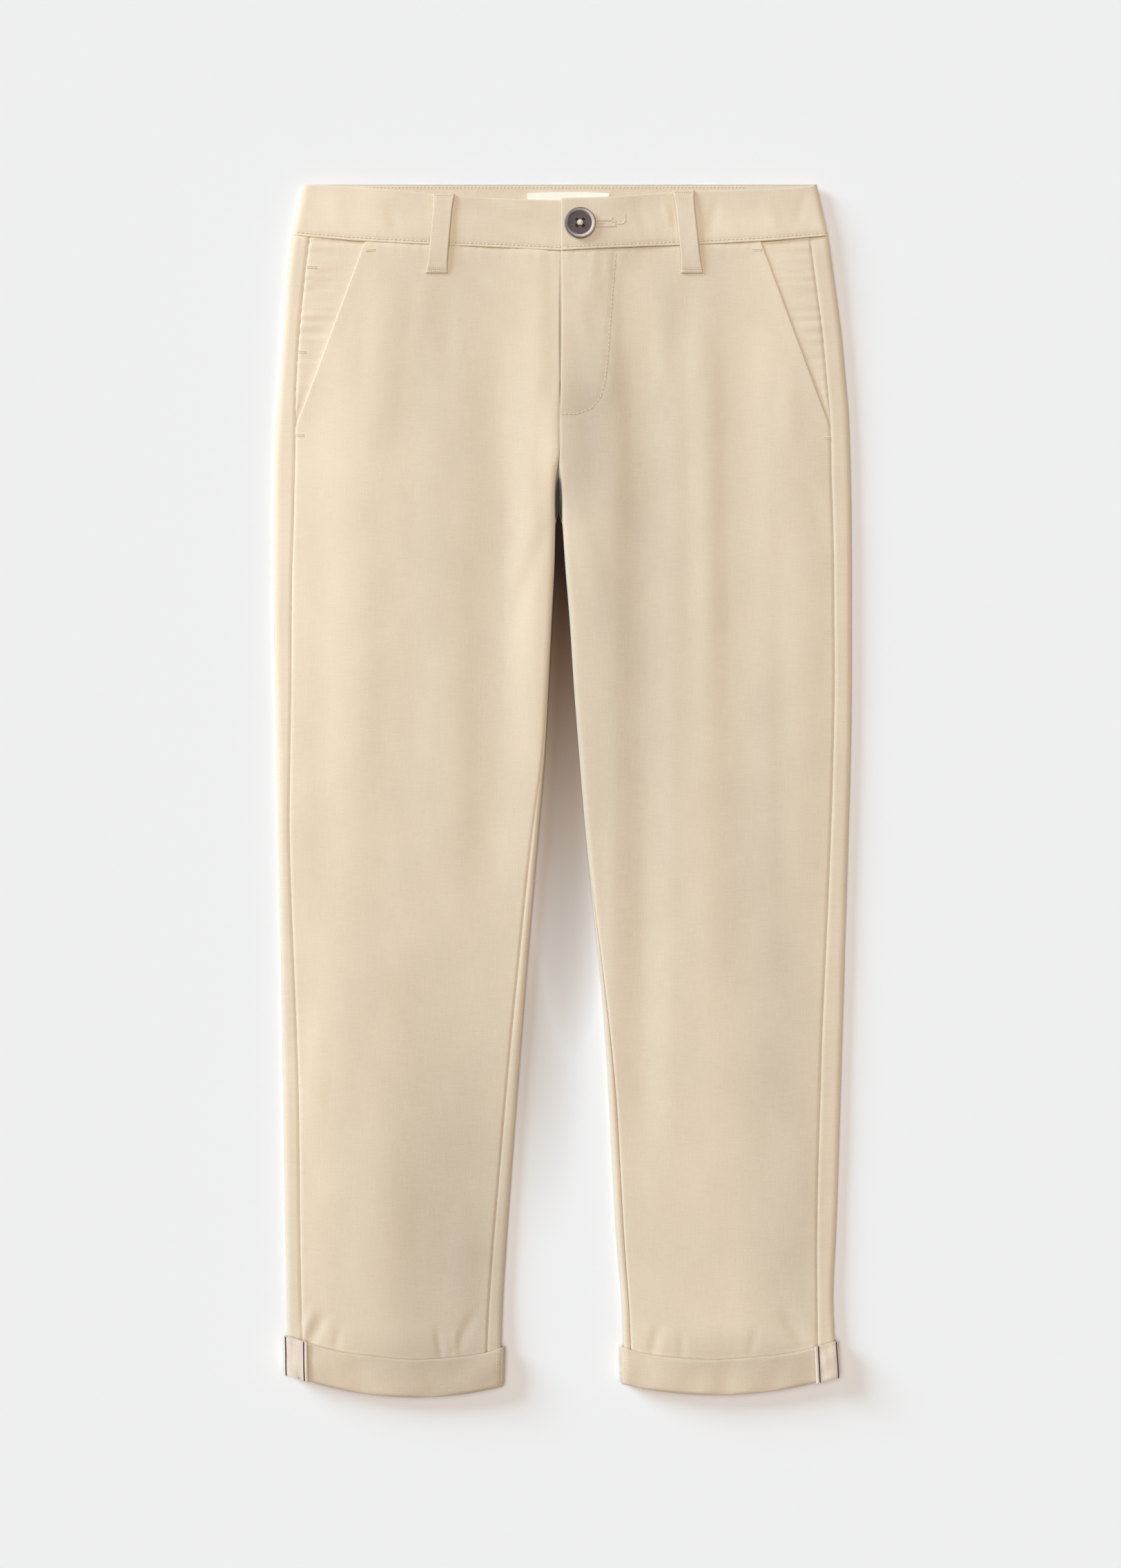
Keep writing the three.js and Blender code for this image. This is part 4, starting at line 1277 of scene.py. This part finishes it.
def turn_up_section(height, step):
    """The folded strip's own closed section, as off, the distance outside the leg, and up, from the fold."""
    inner_side = 0.4
    outer_side = TURN_UP_LIFT
    top = height
    corners = [
        (inner_side, 2.0), (inner_side, top * 0.5), (inner_side, top - 0.9), (inner_side + 0.25, top - 0.3),
        (inner_side + 0.8, top), (outer_side - 0.8, top), (outer_side - 0.2, top - 0.3),
        (outer_side, top - 1.0), (outer_side, top * 0.66), (outer_side, top * 0.33), (outer_side, 2.4),
        (outer_side - 0.2, 1.1), (outer_side - 0.8, 0.3), (1.1, 0.0), (0.1, 0.0), (-0.7, 0.3),
        (-CLOTH + 0.1, 0.9), (-CLOTH + 0.3, 1.7), (-0.4, 2.0), (inner_side, 2.0),
    ]
    off = np.array([c[0] for c in corners])
    up = np.array([c[1] for c in corners])
    walked = np.concatenate([[0], np.cumsum(np.hypot(np.diff(off), np.diff(up)))])
    at = step * walked[-1]
    return np.interp(at, walked, off), np.interp(at, walked, up)


def turn_up_relief(leg, out, up):
    """The turned-up cloth bellies a little, ripples along its edge and creases beside its seams."""
    x = leg.sign * out
    t = up / leg.turn_up
    belly = 0.30 * np.sin(math.pi * np.clip(t, 0, 1))
    ripple = uneven(x, up * 1.5, 21 + leg.sign, 14, 60, 0.022)
    from_tape = section(leg, "outline", HEM) - TAPE_WIDTH - TAPE_START - out
    pull = -0.35 * np.exp(-((from_tape / 3.0) ** 2)) * (1 - 0.5 * t)
    from_inseam = out - section(leg, "inner", HEM)
    seam = groove(from_inseam - INSEAM_ROWS[leg.side][0], 0.25, 0.7)
    return (belly + ripple + pull + seam) * smooth(0, 0.06, t) * (1 - 0.6 * smooth(0.9, 1.0, t))


def hem_point(leg, up, turn, off):
    """A place at a height above the fold, round the leg, and at a distance outside its cloth."""
    row = HEM - up
    out, z, upper = ring_place(leg, row, turn)
    ahead = ring_place(leg, row, np.mod(turn + 0.002, 1.0))
    behind = ring_place(leg, row, np.mod(turn - 0.002, 1.0))
    run_out = ahead[0] - behind[0]
    run_z = ahead[1] - behind[1]
    run = np.hypot(run_out, run_z)
    outer = smooth(1.0, TURN_UP_LIFT, off)
    on_top = smooth(0.5, 1.0, upper)
    off = off + turn_up_relief(leg, out, up) * outer * on_top
    from_inner = out - section(leg, "inner", row)
    wavy = 0.35 * np.sin(out / 9 + 2) * np.sin(out / 23) - 0.9 * np.exp(-((from_inner / 4) ** 2))
    down = row_down(leg, out, row, upper) + wavy * smooth(0.7, 1, up / leg.turn_up)
    height = z + off * run_out / run
    return leg.sign * (out - off * run_z / run), down, np.maximum(height, 0.0)


def turn_up_shape(leg):
    def shape(column, line):
        turn = np.mod(column / RING_COLUMNS, 1.0)
        off, up = turn_up_section(leg.turn_up, np.mod(line / SECTION_ROWS, 1.0))
        x, down, z = hem_point(leg, up, turn, off)
        return x, down, z, leg.sign * column / RING_COLUMNS * 264, line / SECTION_ROWS * 50

    return shape


def tape_turn(leg, up, along):
    """How far round the leg a place on its outseam's tape is."""
    row = HEM - up
    roll = edge_roll(row)
    half = (section(leg, "outline", row) - section(leg, "inner", row)) / 2 - roll[0] + roll[1]
    return 1 - along / (4 * half)


# Where the inseam's plain row and its overlocked edge show on a turn-up, in from its inner end.
INSEAM_ROWS = {"right": (2.2, -0.9), "left": (0.4, -1.8)}
TAPE_COLUMNS = 40
TAPE_ROWS = 40
TAPE_LIP = 1.9
TAPE_THICK = 0.5
TAPE_OVER = 0.6


def tape_shape(leg):
    def shape(column, line):
        up = leg.turn_up + TAPE_OVER - spread(line, TAPE_ROWS, leg.turn_up + TAPE_OVER)
        along = TAPE_START + spread(column, TAPE_COLUMNS, TAPE_WIDTH)
        at = along - TAPE_START
        off = TURN_UP_LIFT + 0.45 + TAPE_THICK
        off += 0.5 * smooth(TAPE_WIDTH - TAPE_LIP - 0.4, TAPE_WIDTH - 0.6, at)
        off -= rounded_edge(TAPE_WIDTH - at, 0.5) + rounded_edge(at, 0.4)
        off += 0.12 * np.sin(up / 2.1 + along / 3) + 0.10 * np.sin(up / 5.3 - along)
        middle = (TAPE_WIDTH - TAPE_LIP) / 2
        off += groove(at - middle, 0.10, 0.35)
        x, down, z = hem_point(leg, up, tape_turn(leg, up, along), off)
        return x, down, z, along, up

    return shape


# Label, button and sewing.
LABEL_COLUMNS = 30
LABEL_ROWS = 26


def label_shape(column, line):
    across = spread(column, LABEL_COLUMNS, LABEL["right"] - LABEL["left"])
    depth = spread(line, LABEL_ROWS, LABEL["bottom"] - LABEL["top"])
    x = LABEL["left"] + across
    middle = (LABEL["left"] + LABEL["right"]) / 2
    bow = ((x - middle) / (middle - LABEL["left"])) ** 2
    ends = np.minimum(across, LABEL["right"] - LABEL["left"] - across)
    z = LOOP_LIFT + BAND + 0.75 + 0.25 * np.sin(across / 7) * smooth(0, 6, ends) + 0.2 * smooth(5, 0, ends)
    return x, LABEL["top"] + 0.8 * bow + depth, z, x, depth


BUTTON_PROFILE = [
    (0.0, 0.0), (0.80, 0.0), (0.93, 0.10), (0.985, 0.30), (1.0, 0.55), (0.985, 0.78), (0.94, 0.92),
    (0.88, 1.0), (0.83, 0.99), (0.79, 0.92), (0.765, 0.78), (0.75, 0.70), (0.72, 0.68), (0.0, 0.68),
]
BUTTON_THICK = 2.6
BUTTON_FACE = 0.755
HOLE_AT = 1.85
HOLE_RADIUS = 0.95


def button_mesh():
    """A turned button with a raised rim, less its four holes."""
    radius = settings().button / 2
    bm = bmesh.new()
    verts = [bm.verts.new((r * radius, 0, z * BUTTON_THICK * MM)) for r, z in BUTTON_PROFILE]
    edges = [bm.edges.new(pair) for pair in zip(verts, verts[1:])]
    bmesh.ops.spin(
        bm, geom=verts + edges, axis=(0, 0, 1), cent=(0, 0, 0), steps=96, angle=2 * math.pi,
        use_merge=True,
    )
    bmesh.ops.remove_doubles(bm, verts=bm.verts, dist=1e-6)
    bmesh.ops.recalc_face_normals(bm, faces=bm.faces)
    mesh = bpy.data.meshes.new("button_turned")
    bm.to_mesh(mesh)
    bm.free()
    return mesh


def drill_mesh():
    bm = bmesh.new()
    for dx, dy in ((1, 1), (1, -1), (-1, -1), (-1, 1)):
        at = Matrix.Translation((dx * HOLE_AT * MM, dy * HOLE_AT * MM, 0))
        bmesh.ops.create_cone(
            bm, cap_ends=True, segments=20, radius1=HOLE_RADIUS * MM, radius2=HOLE_RADIUS * MM,
            depth=0.02, matrix=at,
        )
    mesh = bpy.data.meshes.new("button_drill")
    bm.to_mesh(mesh)
    bm.free()
    return mesh


def apply_modifiers(obj):
    depsgraph = bpy.context.evaluated_depsgraph_get()
    made = bpy.data.meshes.new_from_object(obj.evaluated_get(depsgraph))
    obj.modifiers.clear()
    obj.data = made


def sew_pair(bm, under, a, b, apart=1.1, **thread):
    """Two rows of stitches side by side, as a bartack has."""
    run = Vector((b[0] - a[0], b[1] - a[1])).normalized()
    for side in (-0.5, 0.5):
        dx, dy = -run.y * apart * side, run.x * apart * side
        sew(bm, under, [(a[0] + dx, a[1] + dy), (b[0] + dx, b[1] + dy)], **thread)


def zigzag(bm, under, points, step, length, width, slant=1.15):
    """A dense zigzag, as round a buttonhole."""
    flip = 1
    for x, down, run in walk(points, step):
        found = under(x, down)
        if found:
            way = Vector((run.x, -run.y, 0))
            way.rotate(Matrix.Rotation(slant * flip, 3, "Z"))
            add_stitch(bm, found[0], found[1], way, length * MM, width * MM)
        flip = -flip


def seam_points(low, high, count, above):
    """Places on the waist seam, or a little above it, between two distances across."""
    return [
        (x, float(waist_seam(np.float64(x), 1)) - above)
        for x in np.linspace(low, high, count)
    ]


# Bartacks at the pockets, each from one place to another on the cloth.
Tack = namedtuple("Tack", "x0 down0 x1 down1")
POCKET_TACKS = [
    Tack(-114.4, 39.0, -109.0, 38.6),
    Tack(-148.2, 48.4, -142.9, 48.8),
    Tack(-154.0, 97.3, -149.0, 97.7),
    Tack(-155.0, 145.8, -150.2, 145.8),
    Tack(109.3, 38.4, 114.8, 38.7),
    Tack(151.0, 147.2, 155.0, 147.2),
]
# The buttonhole's rows of zigzag.
ZigzagRow = namedtuple("ZigzagRow", "points step length width")
BUTTONHOLE = [
    ZigzagRow([(18.8, 21.3), (28.6, 21.1)], 0.36, 3.0, 0.6),
    ZigzagRow([(18.8, 24.7), (30.4, 24.5)], 0.36, 3.0, 0.6),
    ZigzagRow([(28.6, 22.2), (30.6, 22.8)], 0.42, 2.0, 0.6),
    ZigzagRow([(30.4, 23.6), (34.4, 23.6), (36.3, 21.9)], 0.5, 1.7, 0.5),
    ZigzagRow([(36.3, 21.9), (35.8, 18.4)], 0.6, 1.2, 0.4),
]


def colour_of(name, what, default):
    return FloatVectorProperty(
        name=name, description=f"Colour of {what}", subtype="COLOR", default=default, min=0, max=1,
    )


class TrousersCloth(PropertyGroup):
    twill: colour_of("Twill", "the cloth's right side", (0.737, 0.614, 0.457))
    inner_twill: colour_of("Inner Twill", "the cloth's inner side, on the turn-ups", (0.70, 0.570, 0.422))
    tape: colour_of("Tape", "the seam allowances on the turn-ups", (0.77, 0.65, 0.52))
    binding: colour_of("Binding", "the thread that binds the allowances", (0.032, 0.018, 0.038))
    thread: colour_of("Thread", "the sewing thread", (0.84, 0.69, 0.53))
    label: colour_of("Label", "the blank label", (0.92, 0.91, 0.79))
    horn: colour_of("Button", "the button's face", (0.088, 0.064, 0.064))
    horn_rim: colour_of("Button Rim", "the button's polished rim", (0.58, 0.49, 0.44))
    button: FloatProperty(
        name="Button Diameter", description="Width of the waist button", subtype="DISTANCE",
        unit="LENGTH", default=0.018, min=0.01, max=0.03,
    )
    camera_height: FloatProperty(
        name="Camera Height", description="Height of the camera above the floor",
        subtype="DISTANCE", unit="LENGTH", default=2.2, min=0.5, max=10,
    )
    floor: colour_of("Floor", "the floor", (0.86, 0.86, 0.865))
    key_light: FloatProperty(
        name="Key Light", description="Strength of the light from the upper left",
        default=3.18, min=0, max=20,
    )
    top_light: FloatProperty(
        name="Top Light", description="Strength of the light from overhead",
        default=1.95, min=0, max=20,
    )
    sky_light: FloatProperty(
        name="Sky Light", description="Strength of the light from all round",
        default=0.18, min=0, max=5,
    )


class TROUSERS_OT_panels(Operator):
    """Cuts the two fronts, the two backs and the fly's shield"""

    bl_idname = "trousers.panels"
    bl_label = "Fronts and Backs"

    def execute(self, context):
        for leg in LEGS:
            front = cloth_piece(
                f"front_cloth_{leg.side}", FRONT_COLUMNS, FRONT_ROWS, front_shape(leg),
                twill_finish(), PANEL_CLOTH, turned=leg is RIGHT,
            )
            finish_piece(front, f"front_{leg.side}")
            back = cloth_piece(
                f"back_cloth_{leg.side}", BACK_COLUMNS, BACK_ROWS, back_shape(leg),
                twill_finish(), PANEL_CLOTH, turned=leg is RIGHT,
            )
            finish_piece(back, f"back_{leg.side}")
        shield = cloth_piece(
            "fly_shield_cloth", SHIELD_COLUMNS, SHIELD_ROWS, shield_shape, twill_finish(), PANEL_CLOTH,
        )
        finish_piece(shield, "fly_shield")
        return {"FINISHED"}


class TROUSERS_OT_pockets(Operator):
    """Sets a facing behind each slanted pocket edge"""

    bl_idname = "trousers.pockets"
    bl_label = "Pockets"

    def execute(self, context):
        for leg in LEGS:
            facing = cloth_piece(
                f"facing_cloth_{leg.side}", FACING_COLUMNS, FACING_ROWS, facing_shape(leg),
                twill_finish(), 0.5, turned=leg is LEFT,
            )
            finish_piece(facing, f"pocket_facing_{leg.side}")
        return {"FINISHED"}


class TROUSERS_OT_waistband(Operator):
    """Folds the two halves of the waistband round the waist, with the blank label inside"""

    bl_idname = "trousers.waistband"
    bl_label = "Waistband and Label"

    def execute(self, context):
        for leg in LEGS:
            band = cloth_piece(
                f"waistband_cloth_{leg.side}", BAND_COLUMNS, BAND_ROWS, band_shape(leg),
                twill_finish(), BAND, turned=leg is RIGHT,
            )
            finish_piece(band, f"waistband_{leg.side}")
        label = cloth_piece("label_cloth", LABEL_COLUMNS, LABEL_ROWS, label_shape, label_finish(), 0.45)
        finish_piece(label, "waist_label")
        return {"FINISHED"}


class TROUSERS_OT_belt_loops(Operator):
    """Sews on the belt loops"""

    bl_idname = "trousers.belt_loops"
    bl_label = "Belt Loops"

    def execute(self, context):
        for loop in LOOPS:
            strip = cloth_piece(
                f"{loop.name}_cloth", LOOP_COLUMNS, LOOP_ROWS, loop_shape(loop), twill_finish(), LOOP_THICK,
            )
            finish_piece(strip, loop.name)
        return {"FINISHED"}


class TROUSERS_OT_turn_ups(Operator):
    """Turns up the hems, with the outseam's pressed allowances on them"""

    bl_idname = "trousers.turn_ups"
    bl_label = "Turned-up Hems"

    def execute(self, context):
        for leg in LEGS:
            ring = cloth_piece(
                f"turn_up_cloth_{leg.side}", RING_COLUMNS, SECTION_ROWS, turn_up_shape(leg),
                inner_twill_finish(), 0, closed=True,
            )
            finish_piece(ring, f"turn_up_{leg.side}")
            tape = cloth_piece(
                f"outseam_tape_cloth_{leg.side}", TAPE_COLUMNS, TAPE_ROWS, tape_shape(leg),
                tape_finish(), TAPE_THICK, turned=leg is RIGHT,
            )
            finish_piece(tape, f"outseam_tape_{leg.side}")
            self.sew_hem(leg, ring, tape)
        return {"FINISHED"}

    def sew_hem(self, leg, ring, tape):
        under = surface_of(ring, tape)
        bound = bmesh.new()
        for at in (TAPE_START + 0.2, TAPE_START + TAPE_WIDTH - TAPE_LIP):
            places = [self.at(leg, leg.turn_up + 0.3 - up, at) for up in np.linspace(0, leg.turn_up, 14)]
            sew(bound, under, places, length=1.5, step=0.8, width=0.85, slant=0.35)
        thread_object(f"tape_binding_{leg.side}", bound, binding_finish())
        lock = bmesh.new()
        if leg is LEFT:
            hair = [(64.1, 687.2), (65.6, 688.6), (66.4, 690.8), (65.8, 692.4)]
            sew(lock, under, hair, length=0.8, step=0.35, width=0.2)
        middle = TAPE_START + (TAPE_WIDTH - TAPE_LIP) / 2
        places = [self.at(leg, up, middle) for up in np.linspace(leg.turn_up, 1, 10)]
        sew(lock, under, places, length=1.2, step=1.8, width=0.22)
        seam, edge = INSEAM_ROWS[leg.side]
        places = [self.at_inner(leg, up, seam) for up in np.linspace(leg.turn_up - 1, 1, 10)]
        sew(lock, under, places, length=1.2, step=1.9, width=0.32)
        heights = np.linspace(leg.turn_up - 0.6, 1.2, 16)
        ragged = [self.at_inner(leg, up, edge + 0.3 * math.sin(up * 2.3)) for up in heights]
        zigzag(lock, under, ragged, step=0.8, length=2.2, width=0.35, slant=1.2)
        thread_object(f"hem_sewing_{leg.side}", lock)
        loose = bmesh.new()
        for along, rise, lean in ((2.2, 2.2, 0.9), (2.9, 1.3, -0.6), (TAPE_WIDTH - 0.4, 1.5, 0.7)):
            x, down = self.at(leg, leg.turn_up - 0.6, along)
            strand = [(x + lean * t * t, down - 0.4 - rise * t) for t in np.linspace(0, 1, 6)]
            sew(loose, under, strand, length=0.7, step=0.3, width=0.22)
        thread_object(f"frayed_threads_{leg.side}", loose)

    def at_inner(self, leg, up, inset):
        out = section(leg, "inner", HEM - up) + inset
        return leg.sign * float(out), float(row_down(leg, out, HEM - up, 1))

    def at(self, leg, up, along):
        turn = tape_turn(leg, np.float64(up), along)
        x, down, _ = hem_point(leg, np.float64(up), turn, np.float64(TURN_UP_LIFT))
        return float(x), float(down)


class TROUSERS_OT_sewing(Operator):
    """Sews the waistband, the fly, the bartacks and the buttonhole"""

    bl_idname = "trousers.sewing"
    bl_label = "Sewing"

    def execute(self, context):
        made = bpy.data.objects
        bands = surface_of(made["waistband_cloth_right"], made["waistband_cloth_left"])
        rows = bmesh.new()
        left_end = band_end(LEFT)
        # holes gathers dark ovals: painted shade in the needle's holes.
        holes = bmesh.new()
        for low, high in ((-155, left_end - 1), (left_end + 2, 152)):
            row = seam_points(low, high, 60, STITCH_INSET)
            sew(rows, bands, row)
            pierce(holes, bands, row)
        sew(rows, bands, [(-113, 1.9), (106, 1.9)], length=1.4, step=2.1)
        thread_object("waistband_sewing", rows)
        fronts = surface_of(made["front_cloth_left"], made["front_cloth_right"])
        fly = bmesh.new()
        row = [(p.x, p.down) for p in FLY_STITCH]
        sew(fly, fronts, row, length=1.5, step=2.5, width=0.5)
        pierce(holes, fronts, row, step=2.5)
        thread_object("fly_sewing", fly)
        thread_object("needle_holes", holes, needle_hole_finish())
        cloth = [made[f"{part}_cloth_{leg.side}"] for part in ("front", "back", "facing") for leg in LEGS]
        panels = surface_of(*cloth)
        tacks = bmesh.new()
        for t in POCKET_TACKS:
            ends = (t.x0, t.down0), (t.x1, t.down1)
            sew_pair(tacks, panels, *ends, apart=0.9, length=1.3, step=0.7, width=0.6)
        for loop in LOOPS[:2]:
            strip = surface_of(made[f"{loop.name}_cloth"])
            leg = RIGHT if loop.x0 < 0 else LEFT
            top = float(curve(WAIST_DIP, f"{leg.side}_top", abs(loop.x0), "out")) - 0.4
            for x, down, half in ((loop.x0, top + 1.7, 4.6), (loop.x1, LOOP_END - 1.7, 4.9)):
                ends = (x - half, down), (x + half, down)
                sew_pair(tacks, strip, *ends, apart=1.0, length=1.0, step=1.1, width=0.5)
        thread_object("bartacks", tacks)
        hole = bmesh.new()
        for row in BUTTONHOLE:
            zigzag(hole, bands, *row)
        thread_object("buttonhole", hole)
        return {"FINISHED"}


class TROUSERS_OT_button(Operator):
    """Sews on the four-hole button"""

    bl_idname = "trousers.button"
    bl_label = "Button"

    def execute(self, context):
        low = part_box("waist_button")[0].z
        place = Vector((BUTTON_AT.x * MM, (LENGTH / 2 - BUTTON_AT.down) * MM, low))
        button = new_object("button", button_mesh(), horn_finish())
        drill = new_object("drill", drill_mesh(), horn_finish())
        cut = button.modifiers.new("holes", "BOOLEAN")
        cut.object = drill
        cut.solver = "EXACT"
        apply_modifiers(button)
        bpy.data.objects.remove(drill)
        button.data.materials.append(horn_rim_finish())
        rim = settings().button / 2 * BUTTON_FACE
        for polygon in button.data.polygons:
            polygon.material_index = 1 if math.hypot(*polygon.center[:2]) > rim else 0
        button.data.transform(Matrix.Translation(place))
        button.data.set_sharp_from_angle(angle=math.radians(40))
        finish_piece(button, "waist_button")
        thread = bmesh.new()
        face = place + Vector((0, 0, (0.68 * BUTTON_THICK + 0.12) * MM))
        for turn in (math.pi / 4, -math.pi / 4):
            for shift in (-0.3, 0.3):
                way = Vector((math.cos(turn), math.sin(turn), 0))
                side = Vector((-way.y, way.x, 0)) * shift * MM
                add_stitch(thread, face + side, Vector((0, 0, 1)), way, 4.4 * MM, 0.8 * MM)
        for n in range(9):
            turn = n * 0.9
            way = Vector((math.cos(turn), math.sin(turn), 0))
            lift = Vector((0, 0, (0.25 + 0.06 * n) * MM))
            add_stitch(thread, face + lift, Vector((0, 0, 1)), way, 4.1 * MM, 1.1 * MM)
        thread_object("button_thread", thread)
        return {"FINISHED"}


class TROUSERS_OT_stage(Operator):
    """Lays the floor, and sets the lights and the camera"""

    bl_idname = "trousers.stage"
    bl_label = "Floor, Lights and Camera"

    def execute(self, context):
        bm = bmesh.new()
        bmesh.ops.create_grid(bm, x_segments=1, y_segments=1, size=6)
        mesh = bpy.data.meshes.new("floor")
        bm.to_mesh(mesh)
        bm.free()
        floor = new_object("floor", mesh, paper_finish())
        floor.location.z = -0.0002
        scene = context.scene
        scene.view_settings.view_transform = "Standard"
        world = bpy.data.worlds.new("studio")
        world.use_nodes = True
        world.node_tree.nodes["Background"].inputs["Color"].default_value = SKY_COLOUR
        world.node_tree.nodes["Background"].inputs["Strength"].default_value = settings().sky_light
        scene.world = world
        for lamp, energy in ((KEY, settings().key_light), (TOP, settings().top_light)):
            sun = bpy.data.lights.new(lamp.name, "SUN")
            sun.energy = energy
            sun.color = lamp.colour
            sun.angle = math.radians(lamp.spread)
            light = bpy.data.objects.new(lamp.name, sun)
            light.rotation_euler = Vector(lamp.come_from).to_track_quat("Z", "Y").to_euler()
            scene.collection.objects.link(light)
        camera = bpy.data.cameras.new("camera")
        camera.sensor_width = SENSOR
        height = settings().camera_height
        camera.lens = SENSOR * (height - CLOTH_LEVEL * MM) / (PHOTO_HEIGHT * PIXEL * MM)
        eye = bpy.data.objects.new("camera", camera)
        eye.location = (PHOTO_CENTRE.x * MM, (LENGTH / 2 - PHOTO_CENTRE.down) * MM, height)
        scene.collection.objects.link(eye)
        scene.camera = eye
        return {"FINISHED"}


class TROUSERS_PT_sidebar(Panel):
    """The trousers' sizes and colours, and a button for each step"""

    bl_label = "Flat Chino Trousers"
    bl_space_type = "VIEW_3D"
    bl_region_type = "UI"
    bl_category = "Trousers"

    def draw(self, context):
        for name in TrousersCloth.__annotations__:
            self.layout.prop(context.scene.trousers, name)
        for step in STEPS:
            self.layout.operator(step.bl_idname)


STEPS = (
    TROUSERS_OT_panels,
    TROUSERS_OT_pockets,
    TROUSERS_OT_waistband,
    TROUSERS_OT_belt_loops,
    TROUSERS_OT_turn_ups,
    TROUSERS_OT_sewing,
    TROUSERS_OT_button,
    TROUSERS_OT_stage,
)
CLASSES = (TrousersCloth, *STEPS, TROUSERS_PT_sidebar)


def register():
    for c in CLASSES:
        bpy.utils.register_class(c)
    bpy.types.Scene.trousers = PointerProperty(type=TrousersCloth)


def unregister():
    del bpy.types.Scene.trousers
    for c in reversed(CLASSES):
        bpy.utils.unregister_class(c)


def main():
    register()
    bpy.ops.trousers.panels()
    bpy.ops.trousers.pockets()
    bpy.ops.trousers.waistband()
    bpy.ops.trousers.belt_loops()
    bpy.ops.trousers.turn_ups()
    bpy.ops.trousers.sewing()
    bpy.ops.trousers.button()
    bpy.ops.trousers.stage()


if __name__ == "__main__":
    main()
